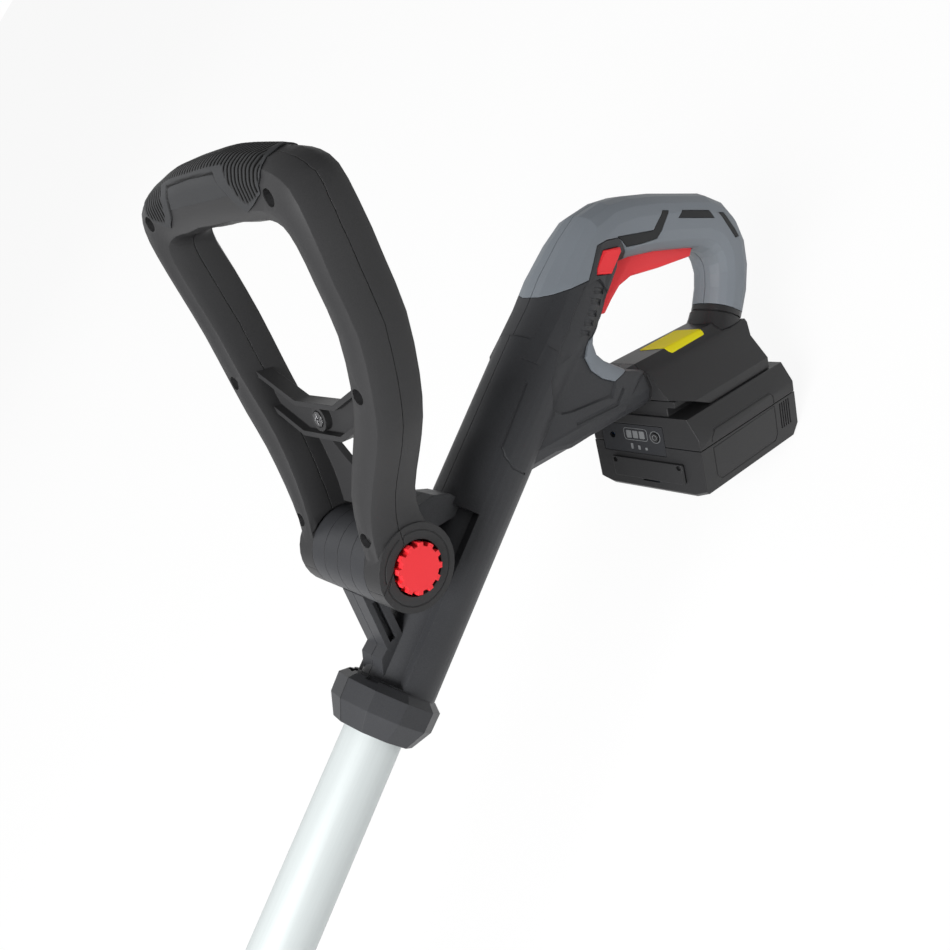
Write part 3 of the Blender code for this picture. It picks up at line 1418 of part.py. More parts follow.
def make_spool_shell(frame, black, steel):
    """The spinning head's housing, its line eyelets and its cover."""
    cup = turned(
        [
            (SPOOL_TOP, 0.0),
            (SPOOL_TOP, SPOOL_RADIUS - 0.0060),
            (SPOOL_TOP - 0.0050, SPOOL_RADIUS),
            (SPOOL_SPLIT, SPOOL_RADIUS),
            (SPOOL_SPLIT, SPOOL_RADIUS - 0.0025),
            (SPOOL_TOP - 0.0060, SPOOL_RADIUS - 0.0025),
            (SPOOL_TOP - 0.0030, SPOOL_RADIUS - 0.0080),
            (SPOOL_TOP - 0.0030, 0.0080),
            (SPOOL_TOP - 0.0220, 0.0080),
            (SPOOL_TOP - 0.0220, 0.0),
        ],
        "Z",
        28,
    )
    cut(cup, rod(SPOOL_TOP - 0.0200, SPOOL_TOP + 0.01, SHAFT_RADIUS + GAP, "Z", 16))
    centre = (0.0, 0.0, (SPOOL_TOP + SPOOL_SPLIT) / 2.0 - 0.0020)
    for side, word in ((-1.0, "left"), (1.0, "right")):
        near, far = sorted((side * (SPOOL_RADIUS - 0.0060), side * (SPOOL_RADIUS + 0.0040)))
        cut(cup, rod(near, far, 0.0040 + GAP, "Y", 16, centre))
        near, far = sorted((side * (SPOOL_RADIUS - 0.0035), side * (SPOOL_RADIUS + 0.0010)))
        eyelet = pipe(near, far, 0.0040, 0.0018, "Y", 16, centre)
        finish("line_eyelet_" + word, eyelet, frame, steel, local=True)
    finish("spool_housing", cup, frame, black, local=True)
    cover = turned(
        [
            (SPOOL_SPLIT - GAP, SPOOL_RADIUS),
            (SPOOL_BASE + 0.0030, SPOOL_RADIUS),
            (SPOOL_BASE, SPOOL_RADIUS - 0.0040),
            (SPOOL_BASE, BUMP_RADIUS + 0.0006),
            (SPOOL_BASE + 0.0025, BUMP_RADIUS + 0.0006),
            (SPOOL_BASE + 0.0025, SPOOL_RADIUS - 0.0060),
            (SPOOL_SPLIT - GAP, SPOOL_RADIUS - 0.0025),
        ],
        "Z",
        28,
    )
    finish("spool_cover", cover, frame, black, local=True)


def make_bobbin(frame, steel):
    """The line spool with its wound line, the bump cap and the spring over the cap."""
    top = SPOOL_TOP - 0.0085
    base = SPOOL_BASE + 0.0045
    bobbin = turned(
        [
            (top, 0.0090),
            (top, 0.0370),
            (top - 0.0020, 0.0370),
            (top - 0.0020, 0.0160),
            (base + 0.0020, 0.0160),
            (base + 0.0020, 0.0370),
            (base, 0.0370),
            (base, 0.0130),
            (base + 0.0060, 0.0130),
            (base + 0.0060, 0.0090),
        ],
        "Z",
        24,
    )
    finish("line_spool", bobbin, frame, material("spool_grey", GREY, 0.5), local=True)
    line = pipe(base + 0.0020 + GAP, top - 0.0020 - GAP, 0.0330, 0.0160 + GAP, "Z", 24)
    finish("cutting_line", line, frame, material("line_red", RED, 0.4), local=True)
    cap = turned(
        [
            (base - GAP, 0.0),
            (base - GAP, 0.0200),
            (SPOOL_BASE + 0.0010, 0.0200),
            (SPOOL_BASE + 0.0010, BUMP_RADIUS),
            (BUMP_BASE + 0.0060, BUMP_RADIUS),
            (BUMP_BASE + 0.0015, BUMP_RADIUS - 0.0050),
            (BUMP_BASE, BUMP_RADIUS - 0.0110),
            (BUMP_BASE, 0.0),
        ],
        "Z",
        24,
    )
    finish("bump_cap", cap, frame, material("cap_dark", DARK, 0.5), local=True)
    spring = pipe(base + BUMP_TRAVEL, SPOOL_TOP - 0.0220 - GAP, 0.0062, 0.0046, "Z", 12)
    finish("bump_spring", spring, frame, steel, local=True)


def make_head(frame):
    """Motor, its housing halves, guard, spool head and its parts."""
    black = material("head_black", BLACK, 0.55)
    steel = material("steel", STEEL, 0.35, 1.0)
    shroud = motor_shroud()
    finish("motor_housing_left", half(shroud, -1.0), frame, black, local=True)
    finish("motor_housing_right", half(shroud, 1.0), frame, black, local=True)
    bpy.data.objects.remove(shroud, do_unlink=True)
    make_motor(frame, steel)
    make_guard(frame, black, steel)
    make_spool_shell(frame, black, steel)
    make_bobbin(frame, steel)


def place_on_floor(root):
    """Sets the middle of the model's base at the world's origin."""
    bpy.context.view_layer.update()
    depsgraph = bpy.context.evaluated_depsgraph_get()
    points = []
    for piece in bpy.data.objects:
        if piece.type == "EMPTY":
            continue
        solid = piece.evaluated_get(depsgraph)
        mesh = solid.to_mesh()
        points += [piece.matrix_world @ vertex.co for vertex in mesh.vertices]
        solid.to_mesh_clear()
    low = [min(point[axis] for point in points) for axis in range(3)]
    high = [max(point[axis] for point in points) for axis in range(3)]
    root.location = (-(low[0] + high[0]) / 2.0, -(low[1] + high[1]) / 2.0, -low[2])


def main():
    """Builds the trimmer, and sets it on the floor."""
    clear_scene()
    root = empty("trimmer")
    handle_axis = empty("handle_axis", root, Matrix.Translation(HUB))
    trigger_axis = empty("trigger_axis", root, Matrix.Translation(TRIGGER_PIVOT))
    pack = empty("pack_frame", root, PACK_FRAME)
    head = empty("head_frame", root, HEAD_FRAME)
    make_body(root)
    make_handle(handle_axis)
    make_hub(handle_axis)
    make_controls(trigger_axis, root)
    make_battery(pack)
    make_dock(pack)
    make_tube(root)
    make_electronics(root)
    make_head(head)
    place_on_floor(root)


main()
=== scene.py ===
# %% [markdown]
# # A cordless string trimmer
# The solid model gives every part its shape, its place and its joints. This lesson dresses it:
# each surface gets a finish, and the small moulded details that a hand or an eye would notice
# are modelled on top. We start by loading the solids as a fixed frame.

# %% Load the frame
import json
import math

import bmesh
import bpy
from mathutils import Matrix, Vector
from mathutils.bvhtree import BVHTree


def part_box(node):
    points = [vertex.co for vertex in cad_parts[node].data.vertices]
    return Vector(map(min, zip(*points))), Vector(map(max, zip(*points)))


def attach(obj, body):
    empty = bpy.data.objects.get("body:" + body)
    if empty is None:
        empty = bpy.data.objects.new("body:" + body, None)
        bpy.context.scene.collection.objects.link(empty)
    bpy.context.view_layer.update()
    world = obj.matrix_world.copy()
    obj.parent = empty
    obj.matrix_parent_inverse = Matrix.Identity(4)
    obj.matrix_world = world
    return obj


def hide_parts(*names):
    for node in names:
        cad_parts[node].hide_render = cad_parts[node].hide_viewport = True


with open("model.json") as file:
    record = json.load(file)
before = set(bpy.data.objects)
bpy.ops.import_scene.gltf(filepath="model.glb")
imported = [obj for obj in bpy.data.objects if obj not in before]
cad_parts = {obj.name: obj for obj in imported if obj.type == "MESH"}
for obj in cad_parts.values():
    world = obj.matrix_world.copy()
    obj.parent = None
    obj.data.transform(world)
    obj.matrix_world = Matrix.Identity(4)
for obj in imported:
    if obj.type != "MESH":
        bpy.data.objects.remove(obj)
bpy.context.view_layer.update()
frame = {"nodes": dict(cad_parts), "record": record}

nodes = frame["nodes"]

# %% [markdown]
# The trimmer was designed along its tube: X runs from the cutting head to the grip, and the
# tube's axis is the origin. A second frame leans away from it, along the battery's slide. A small
# helper turns millimetres in a frame into the scene's metres, so every detail below is placed by
# the numbers that a maker would have on the drawing.

# %% The tool's frame and the battery's
MM = 0.001
TUBE_IN_HOUSING = 0.098
PACK_TILT = 41.56

tube_low, tube_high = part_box("main_tube")
ORIGIN = Vector((tube_high.x - TUBE_IN_HOUSING, 0.0, (tube_low.z + tube_high.z) / 2.0))
TOOL = Matrix.Translation(ORIGIN)
PACK = TOOL @ Matrix.Rotation(math.radians(PACK_TILT), 4, "Y")


def point(place, x, y, z):
    """Millimetres in one of the frames, as metres in the scene."""
    return place @ Vector((x * MM, y * MM, z * MM))


print("tool origin", [round(v, 4) for v in ORIGIN])

# %% [markdown]
# ## The studio
# The photograph fits a camera less than half a metre away, above and beside the grip, with a fairly
# wide lens. Its place and two of its axes are written in the tool's frame, and the third follows
# from them.

# %% Camera
EYE = point(TOOL, 51.8, -343.3, 292.8)
RIGHT = Vector((0.3895, -0.6439, -0.6586)).normalized()
AHEAD = Vector((0.1811, 0.7546, -0.6307)).normalized()
UP = RIGHT.cross(AHEAD).normalized()
camera_data = bpy.data.cameras.new("camera")
camera_data.lens = 34.105
camera_data.sensor_width = 36.0
camera_data.clip_start = 0.01
camera = bpy.data.objects.new("camera", camera_data)
camera.matrix_world = Matrix.Translation(EYE) @ Matrix((RIGHT, UP, -AHEAD)).transposed().to_4x4()
bpy.context.scene.collection.objects.link(camera)
bpy.context.scene.camera = camera
bpy.context.scene.view_settings.view_transform = "Standard"
print("camera at", [round(v, 3) for v in EYE])

# %% [markdown]
# A product shot has a white floor and big soft lamps. The floor is a real surface, so it keeps the
# shadow, but the camera sees it mostly as plain white: the Light Path node tells the floor's
# material which ray is asking. More light would make it white too, but it would bleach the tool.

# %% Floor
FLOOR_SIZE = 14.0
FLOOR_DROP = -0.0005
FLOOR_GREY = 0.86
WHITE_SHARE = 0.92


def math_node(tree, operation, first, second):
    """A Math node on two sockets, or on a socket and a number."""
    made = tree.nodes.new("ShaderNodeMath")
    made.operation = operation
    for target, value in zip(made.inputs, (first, second)):
        if isinstance(value, float):
            target.default_value = value
        else:
            tree.links.new(value, target)
    return made.outputs[0]


def white_for_camera(tree, share):
    """A value of share where the camera, a reflection or glass looks, and 0 for other light."""
    ray = tree.nodes.new("ShaderNodeLightPath").outputs
    either = math_node(tree, "MAXIMUM", ray["Is Camera Ray"], ray["Is Glossy Ray"])
    any_ray = math_node(tree, "MAXIMUM", either, ray["Is Transmission Ray"])
    return math_node(tree, "MULTIPLY", any_ray, share)


def mixed(tree, factor, first, second, target):
    """Sends two shaders through a Mix Shader to an output node."""
    mix = tree.nodes.new("ShaderNodeMixShader")
    for socket, value in zip(mix.inputs, (factor, first, second)):
        tree.links.new(value, socket)
    tree.links.new(mix.outputs[0], tree.nodes[target].inputs["Surface"])


bpy.ops.object.select_all(action="DESELECT")
bpy.ops.mesh.primitive_plane_add(size=FLOOR_SIZE, location=(0.0, 0.0, FLOOR_DROP))
floor = bpy.context.object
floor.name = "floor"
floor_paint = bpy.data.materials.new("floor_white")
floor_paint.use_nodes = True
tree = floor_paint.node_tree
matt = tree.nodes["Principled BSDF"]
matt.inputs["Base Color"].default_value = (FLOOR_GREY, FLOOR_GREY, FLOOR_GREY, 1.0)
matt.inputs["Roughness"].default_value = 0.9
glow = tree.nodes.new("ShaderNodeEmission")
glow.inputs["Strength"].default_value = 1.0
share = white_for_camera(tree, WHITE_SHARE)
mixed(tree, share, matt.outputs[0], glow.outputs[0], "Material Output")
floor.data.materials.append(floor_paint)
print("floor", FLOOR_SIZE, "m wide")

# %% [markdown]
# The world gives a dim even light from everywhere, and the camera alone sees it as white.

# %% World
AMBIENT = 0.22

world = bpy.data.worlds.new("studio")
bpy.context.scene.world = world
world.use_nodes = True
tree = world.node_tree
ambient = tree.nodes["Background"]
ambient.inputs["Color"].default_value = (1.0, 1.0, 1.0, 1.0)
ambient.inputs["Strength"].default_value = AMBIENT
white = tree.nodes.new("ShaderNodeBackground")
white.inputs["Color"].default_value = (1.0, 1.0, 1.0, 1.0)
white.inputs["Strength"].default_value = 1.0
ray = tree.nodes.new("ShaderNodeLightPath").outputs
mixed(tree, ray["Is Camera Ray"], ambient.outputs[0], white.outputs[0], "World Output")
print("world light", AMBIENT)

# %% [markdown]
# The key lamp stands high over the cutting end, so the faces that look up and forward are light
# and those that look at the camera stay dark. The fill and the back lamp only open the shadows.

# %% Lamps
LAMPS = (
    # name, place in mm, width in m, power in W
    ("key", (-1000.0, -380.0, 1250.0), 0.9, 46.0),
    ("fill", (1200.0, -900.0, 500.0), 1.4, 1.5),
    ("back", (300.0, 1300.0, 900.0), 1.4, 5.0),
)


def softbox(name, place, target, size, power):
    """A square area lamp that faces a target."""
    lamp = bpy.data.lights.new(name, "AREA")
    lamp.shape = "SQUARE"
    lamp.size = size
    lamp.energy = power
    holder = bpy.data.objects.new(name, lamp)
    holder.location = place
    holder.rotation_euler = (Vector(target) - Vector(place)).to_track_quat("-Z", "Y").to_euler()
    bpy.context.scene.collection.objects.link(holder)


middle = point(TOOL, 150.0, 0.0, 60.0)
for name, place, size, power in LAMPS:
    softbox(name, point(TOOL, *place), middle, size, power)
print("lamps:", [lamp[0] for lamp in LAMPS])

# %% [markdown]
# ## Finishes
# Moulded plastic isn't one flat colour. A fine spark-eroded grain breaks up the gloss, and the
# colour drifts a little. Both come from noise in object coordinates, which are metres here, so a
# scale of 2600 is a grain of about 0.4 mm. To keep the node trees readable, a small class wraps a
# socket so that shader maths can be written as plain sums.

# %% Sums on sockets


class Wire:
    """An output socket that adds its own Math nodes."""

    def __init__(self, finish, socket):
        self.finish = finish
        self.socket = socket

    def apply(self, operation, first, second):
        inputs = {0: first, 1: second}
        return self.finish.node("ShaderNodeMath", {"operation": operation}, inputs)

    def __add__(self, other):
        return self.apply("ADD", self, other)

    def __radd__(self, other):
        return self.apply("ADD", other, self)

    def __mul__(self, other):
        return self.apply("MULTIPLY", self, other)

    def __rmul__(self, other):
        return self.apply("MULTIPLY", other, self)


print("sums ready: + and *")

# %% [markdown]
# A second class holds one material. Its node method adds any node: the settings come first,
# because some of them change which sockets the node has, and then the values or links.

# %% One material
BEVEL_SAMPLES = 4


class Finish:
    """One material, its shader, and a method that adds any node to it."""

    def __init__(self, name, colour, roughness, metallic=0.0):
        self.material = bpy.data.materials.new(name)
        self.material.use_nodes = True
        self.tree = self.material.node_tree
        self.shader = self.tree.nodes["Principled BSDF"]
        self.shader.inputs["Base Color"].default_value = (*colour, 1.0)
        self.shader.inputs["Roughness"].default_value = roughness
        self.shader.inputs["Metallic"].default_value = metallic
        self.material.diffuse_color = (*colour, 1.0)

    def plug(self, target, value):
        """Sets a socket to a value, or links a wire to it."""
        if isinstance(value, Wire):
            self.tree.links.new(value.socket, target)
        elif hasattr(value, "__len__") and len(value) == 3 and len(target.default_value) == 4:
            target.default_value = (*value, 1.0)
        else:
            target.default_value = value

    def node(self, kind, settings=None, inputs=None, output=0):
        """Adds a node and returns one of its outputs."""
        made = self.tree.nodes.new(kind)
        for key, value in (settings or {}).items():
            setattr(made, key, value)
        for key, value in (inputs or {}).items():
            self.plug(made.inputs[key], value)
        return Wire(self, made.outputs[output])

    def feed(self, socket, wire):
        """Feeds one of the shader's own sockets."""
        self.plug(self.shader.inputs[socket], wire)

    def place(self, scale=None):
        """Object coordinates, stretched along the axes where a scale is given."""
        here = self.node("ShaderNodeTexCoord", output="Object")
        if scale is None:
            return here
        inputs = {"Vector": here, "Scale": scale}
        return self.node("ShaderNodeMapping", {"vector_type": "POINT"}, inputs)

    def noise(self, scale, detail, where=None):
        """Grey noise from 0 to 1."""
        inputs = {"Vector": where or self.place(), "Scale": scale, "Detail": detail}
        return self.node("ShaderNodeTexNoise", None, inputs)

    def blend(self, factor, first, second):
        """A colour between two others."""
        inputs = {0: factor, 6: first, 7: second}
        return self.node("ShaderNodeMix", {"data_type": "RGBA"}, inputs, 2)

    def bump(self, height, strength, distance, rounding=0.0):
        """A normal from a height, over edges softened by a rounding radius."""
        inputs = {"Height": height, "Strength": strength, "Distance": distance}
        if rounding:
            settings = {"samples": BEVEL_SAMPLES}
            inputs["Normal"] = self.node("ShaderNodeBevel", settings, {"Radius": rounding})
        return self.node("ShaderNodeBump", None, inputs)


print("helpers ready: Wire, Finish")

# %% [markdown]
# The black plastic of the housing is speckled: a matt base with tiny lighter grains. The grip's
# grey is softer and cleaner, and the battery is finer and darker. A white studio is mirrored even
# by matt plastic, so the specular level is under Blender's own 0.5, which keeps the blacks black.
# Each line below gives a colour, a roughness and how strongly the plastic is speckled.

# %% Moulded plastics
GRAIN = 2600.0
CLOUD = 28.0
SHINE = 0.22
ROUNDING = 0.0005
GRAIN_HEIGHT = 0.00012


def moulded(name, colour, roughness, speckle, rounding=ROUNDING):
    """Matt moulded plastic with a fine spark-eroded grain."""
    finish = Finish(name, colour, roughness)
    cloud = finish.noise(CLOUD, 3.0)
    fleck = finish.noise(GRAIN, 2.0)
    light = tuple(min(1.0, v * (1.0 + speckle)) for v in colour)
    dark = tuple(v * (1.0 - speckle * 0.5) for v in colour)
    finish.feed("Base Color", finish.blend(fleck * 0.75 + cloud * 0.25, dark, light))
    finish.feed("Roughness", cloud * 0.10 + (roughness - 0.05))
    finish.feed("Normal", finish.bump(fleck, 0.30, GRAIN_HEIGHT, rounding))
    finish.shader.inputs["Specular IOR Level"].default_value = SHINE
    return finish.material


paint = {}
paint["housing"] = moulded("housing_black", (0.033, 0.034, 0.037), 0.46, 0.70)
paint["handle"] = moulded("handle_black", (0.029, 0.029, 0.030), 0.46, 0.40)
paint["grip"] = moulded("grip_grey", (0.200, 0.222, 0.248), 0.48, 0.12)
paint["dark"] = moulded("fine_dark", (0.024, 0.024, 0.025), 0.38, 0.30)
paint["rubber"] = moulded("soft_black", (0.022, 0.023, 0.024), 0.62, 0.25)
paint["red"] = moulded("signal_red", (0.90, 0.035, 0.045), 0.42, 0.05)
paint["gauge"] = moulded("gauge_black", (0.030, 0.031, 0.034), 0.25, 0.10, rounding=0.0)
paint["head"] = moulded("head_black", (0.030, 0.031, 0.033), 0.52, 0.40)
paint["spool"] = moulded("spool_grey", (0.150, 0.163, 0.180), 0.50, 0.15)
paint["line"] = moulded("line_red", (0.60, 0.035, 0.045), 0.30, 0.05)
paint["board"] = moulded("board_green", (0.020, 0.160, 0.060), 0.35, 0.20)
paint["cells"] = moulded("cell_wrap", (0.050, 0.180, 0.420), 0.30, 0.05)
paint["lead"] = moulded("lead_black", (0.014, 0.014, 0.015), 0.45, 0.10)
print("plastics:", sorted(paint))

# %% [markdown]
# The tube is drawn aluminium with a satin anodised skin: pale, and a little grainy along its
# length. A fully metallic shader would mirror the dark side of the room, so the skin gets little
# of it. Steel screws are darker and smoother, and the rotor's copper winding is warm.

# %% Metals
LINE_SCALE = 900.0
LINE_HEIGHT = 0.00005
METAL_ROUNDING = 0.0003


def metal(name, colour, roughness, stretch, metallic=1.0):
    """Satin metal whose fine lines run along X."""
    finish = Finish(name, colour, roughness, metallic)
    lines = finish.noise(LINE_SCALE, 3.0, finish.place((stretch, 1.0, 1.0)))
    light = tuple(min(1.0, v * 1.04) for v in colour)
    dark = tuple(v * 0.94 for v in colour)
    finish.feed("Base Color", finish.blend(lines, dark, light))
    finish.feed("Roughness", lines * 0.10 + (roughness - 0.05))
    finish.feed("Normal", finish.bump(lines, 0.10, LINE_HEIGHT, METAL_ROUNDING))
    return finish.material


paint["steel"] = metal("steel", (0.40, 0.40, 0.41), 0.34, 1.0)
paint["copper"] = metal("winding_copper", (0.70, 0.32, 0.16), 0.36, 1.0)
paint["tube"] = metal("tube_alloy", (0.56, 0.60, 0.60), 0.52, 0.02, metallic=0.1)
print("metals: steel, winding_copper, tube_alloy")

# %% [markdown]
# One table says which solid wears which finish. The check at its end names any solid that was
# forgotten, which is easy to miss among so many.

# %% Paint the solids
WEARS = {
    "housing": ("housing_left", "housing_right", "hub_ring_left", "hub_ring_right"),
    "handle": ("handle_front", "handle_rear"),
    "rubber": ("handle_pad", "inlay_band_left", "inlay_band_right", "inlay_patch_left",
               "inlay_patch_right", "inlay_bar_left", "inlay_bar_right"),
    "grip": ("grip_left", "grip_right", "corner_liner"),
    "dark": ("battery_dock", "post_ring", "battery_case_lower", "battery_case_upper",
             "battery_latch", "terminal_block", "trigger_switch", "bump_cap", "gauge_button"),
    "red": ("trigger", "lock_off_button", "lock_knob"),
    "gauge": ("gauge_panel",),
    "head": ("motor_housing_left", "motor_housing_right", "guard", "spool_housing", "spool_cover"),
    "spool": ("line_spool",),
    "line": ("cutting_line",),
    "board": ("controller_board", "battery_board"),
    "cells": ("cell_block",),
    "lead": ("battery_leads", "motor_lead"),
    "steel": ("crossbar_screw", "hinge_bolt", "knob_spring", "trigger_spring", "bump_spring",
              "motor_can", "line_cutter", "cutter_screw", "line_eyelet_left", "line_eyelet_right"),
    "copper": ("motor_rotor",),
    "tube": ("main_tube",),
}
WEARS["steel"] += tuple("handle_screw_%d" % number for number in range(1, 7))

for name, wearers in WEARS.items():
    for wearer in wearers:
        nodes[wearer].data.materials.clear()
        nodes[wearer].data.materials.append(paint[name])
bare = sorted(set(nodes) - {wearer for wearers in WEARS.values() for wearer in wearers})
print("painted", len(nodes) - len(bare), "solids; without paint:", bare)

# %% [markdown]
# ## Skins
# The solids are made of flat triangles, so a round hub shows its facets. A skin is a copy of one
# solid whose loose triangles are merged and whose shading is smooth, except over edges sharper
# than a given angle. That angle is smaller on the handle and the housing, where edges that should
# stay crisp are blunt. The solid itself stays as it is and only steps back from view.

# %% Skins over the solids
MERGE = 0.000001
FLAT_ANGLE = 0.5
PLAIN_ANGLE = 35.0
HANDLE_ANGLE = 28.0
HOUSING_ANGLE = 21.0
SHADING = {"handle": HANDLE_ANGLE, "housing": HOUSING_ANGLE}
BODIES = frame["record"]["behaviour"]["bodies"]
BODY_OF = {name: body for body, names in BODIES.items() for name in names}


def only(piece):
    """Selects one piece alone and makes it active."""
    bpy.ops.object.select_all(action="DESELECT")
    piece.select_set(True)
    bpy.context.view_layer.objects.active = piece


def smooth(piece, angle):
    """Smooth shading that stops at edges sharper than an angle in degrees."""
    only(piece)
    bpy.ops.object.shade_smooth_by_angle(angle=math.radians(angle))


def skin(name, angle):
    """A smooth copy of a solid, shown in its place."""
    solid = nodes[name]
    piece = bpy.data.objects.new(name + "_skin", solid.data.copy())
    bpy.context.scene.collection.objects.link(piece)
    only(piece)
    bpy.ops.object.mode_set(mode="EDIT")
    bpy.ops.mesh.select_all(action="SELECT")
    bpy.ops.mesh.customdata_custom_splitnormals_clear()
    bpy.ops.mesh.remove_doubles(threshold=MERGE)
    bpy.ops.mesh.dissolve_limited(angle_limit=math.radians(FLAT_ANGLE))
    bpy.ops.object.mode_set(mode="OBJECT")
    smooth(piece, angle)
    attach(piece, BODY_OF[name])
    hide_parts(name)
    return piece


skins = {}
for name in sorted(set(nodes) - {"handle_pad"}):
    skins[name] = skin(name, SHADING.get(name.split("_")[0], PLAIN_ANGLE))
print("skins:", len(skins), "with", sum(len(s.data.polygons) for s in skins.values()), "faces")

# %% [markdown]
# ## The ribbed pad
# The top bar wears a soft pad that is moulded into a pocket of the two shells. Its ribs run round
# the bar, and on the front face they end in two V shapes with a smooth panel between them. The
# bar's own frame of reference has Z up out of the bar and X to its rear, and the pad is drawn as
# a sheet: across the bar by Y, and round the bar by an angle that is 0 at the top and grows
# towards the front. Each outline below is a broken line of places across and angles.

# %% The bar's frame and the pad's outline
BAR_PLACE = (0.1784, 0.0, 0.1814)
BAR_TILT = 32.5
BAR = TOOL @ Matrix.Translation(BAR_PLACE) @ Matrix.Rotation(math.radians(BAR_TILT), 4, "Y")
RIB_PITCH = 2.48
FRONT_EDGE = ((0.0, 94.0), (26.0, 94.0), (29.0, 105.4), (35.2, 123.0), (42.8, 114.7),
              (49.9, 103.0), (53.6, 76.0))
PANEL_EDGE = ((0.0, 53.0), (21.4, 55.5), (24.9, 79.6), (29.0, 105.4), (35.2, 130.0),
              (60.0, 150.0))
REAR_EDGE = ((0.0, -94.0), (42.0, -94.0), (46.0, -60.0), (48.6, -15.0), (51.4, 30.0),
             (53.6, 76.0))
RIB_FRONT = ((0.0, 45.5), (27.2, 45.5), (28.6, 50.0), (30.7, 70.7), (34.8, 102.0),
             (38.3, 111.6), (48.2, 102.3), (51.4, 91.8), (52.2, 71.0), (52.6, 60.0))
RIB_REAR = ((0.0, -66.0), (41.0, -62.0), (43.4, -50.0), (44.6, -19.6), (50.9, 45.9), (52.6, 66.0))


def along(line, across):
    """Angle of an outline at a place across the bar, the same on both sides of its middle."""
    across = min(max(abs(across), line[0][0]), line[-1][0])
    for (x0, y0), (x1, y1) in zip(line, line[1:]):
        if across <= x1:
            return y0 + (y1 - y0) * (across - x0) / (x1 - x0)


print("pad outline:", len(FRONT_EDGE) + len(REAR_EDGE), "points, ribs every", RIB_PITCH, "mm")

# %% [markdown]
# The sheet has to follow a bar that swells and bends, so its distance from the bar's axis is
# measured on the solids: a ray is cast inwards at each place, and the outermost hit counts.

# %% Measure the bar
STEP_ACROSS = 1.5
STEP_ROUND = 5.0
RAY = 0.03
THINNEST = 8.0


def tree_of(piece):
    """A search tree over the faces of one mesh object."""
    mesh = piece.data
    faces = [tuple(p.vertices) for p in mesh.polygons]
    return BVHTree.FromPolygons([v.co for v in mesh.vertices], faces)


bar_trees = [tree_of(nodes[name]) for name in ("handle_front", "handle_rear", "handle_pad")]


def bar_radius(across, turn):
    """Distance in mm from the bar's axis to its surface."""
    start = point(BAR, 0.0, across, 0.0)
    turn = math.radians(turn)
    out = BAR.to_3x3() @ Vector((-math.sin(turn), 0.0, math.cos(turn)))
    reach = [tree.ray_cast(start + out * RAY, -out, RAY)[0] for tree in bar_trees]
    return max([(hit - start).length * 1000.0 for hit in reach if hit] or [THINNEST])


SAMPLE_Y = [-57.0 + STEP_ACROSS * i for i in range(77)]
SAMPLE_T = [-100.0 + STEP_ROUND * i for i in range(48)]
measured = [[bar_radius(y, t) for t in SAMPLE_T] for y in SAMPLE_Y]
print("bar measured at", len(SAMPLE_Y) * len(SAMPLE_T), "places")

# %% [markdown]
# The solids have narrow gaps between them and flat facets. A place that lies much lower than both
# of its neighbours is a gap and is closed, and the mean of the neighbours rounds off the facets.

# %% Even out the measures
GAP_DEPTH = 0.4


def bridged(table, i, j):
    """Closes a narrow gap, where a place is much lower than both of its neighbours."""
    value = table[i][j]
    for a, b in ((1, 0), (0, 1)):
        if a <= i < len(table) - a and b <= j < len(table[0]) - b:
            value = max(value, min(table[i - a][j - b], table[i + a][j + b]) - GAP_DEPTH)
    return value


def near_mean(table, i, j):
    """The mean of a place and its neighbours."""
    rows = range(max(0, i - 1), min(len(table), i + 2))
    columns = range(max(0, j - 1), min(len(table[0]), j + 2))
    near = [table[a][b] for a in rows for b in columns]
    return sum(near) / len(near)


def for_all(rule, table):
    """A table of what a rule makes of each place of another table."""
    return [[rule(table, i, j) for j in range(len(SAMPLE_T))] for i in range(len(SAMPLE_Y))]


even = for_all(near_mean, for_all(bridged, measured))


def even_radius(across, turn):
    """The measured distance, read between the samples."""
    u = min(max((across - SAMPLE_Y[0]) / STEP_ACROSS, 0.0), len(SAMPLE_Y) - 1.001)
    v = min(max((turn - SAMPLE_T[0]) / STEP_ROUND, 0.0), len(SAMPLE_T) - 1.001)
    i, j = int(u), int(v)
    low = even[i][j] * (1.0 - v + j) + even[i][j + 1] * (v - j)
    high = even[i + 1][j] * (1.0 - v + j) + even[i + 1][j + 1] * (v - j)
    return low * (1.0 - u + i) + high * (u - i)


print("bar radius from %.1f to %.1f mm" % (min(map(min, even)), max(map(max, even))))

# %% [markdown]
# Three small helpers save much typing from here on. One adds a modifier and applies it, one turns
# a closed mesh's faces outwards, and one cuts a tool's shape out of a piece with a Boolean. The
# exact solver is slower than the fast one, but it copes with surfaces that nearly touch.

# %% Modify, turn outwards, carve


def modify(piece, kind, **settings):
    """Adds a modifier with its settings, and applies it."""
    modifier = piece.modifiers.new("step", kind)
    for key, value in settings.items():
        setattr(modifier, key, value)
    only(piece)
    bpy.ops.object.modifier_apply(modifier=modifier.name)


def outwards(piece):
    """Turns the faces of a closed piece outwards."""
    only(piece)
    bpy.ops.object.mode_set(mode="EDIT")
    bpy.ops.mesh.select_all(action="SELECT")
    bpy.ops.mesh.normals_make_consistent(inside=False)
    bpy.ops.object.mode_set(mode="OBJECT")


def carve(piece, tool, angle):
    """Cuts a tool's shape out of a piece, and removes the tool."""
    modify(piece, "BOOLEAN", operation="DIFFERENCE", solver="EXACT", use_self=True, object=tool)
    bpy.data.objects.remove(tool)
    smooth(piece, angle)


print("helpers ready: modify, outwards, carve")

# %% [markdown]
# One function makes both the pad and the tool that cuts its pocket: a flat grid is wrapped round
# the bar between the two edges of the outline, lifted by a height, and given a wall by a Solidify
# modifier.

# %% Wrap a sheet round the bar
MM_PER_DEGREE = 0.22
POCKET_DEPTH = 1.55
POCKET_TOP = 1.5
POCKET_COLUMNS = [-53.4 + 106.8 * i / 60 for i in range(61)]
POCKET_ROWS = 28


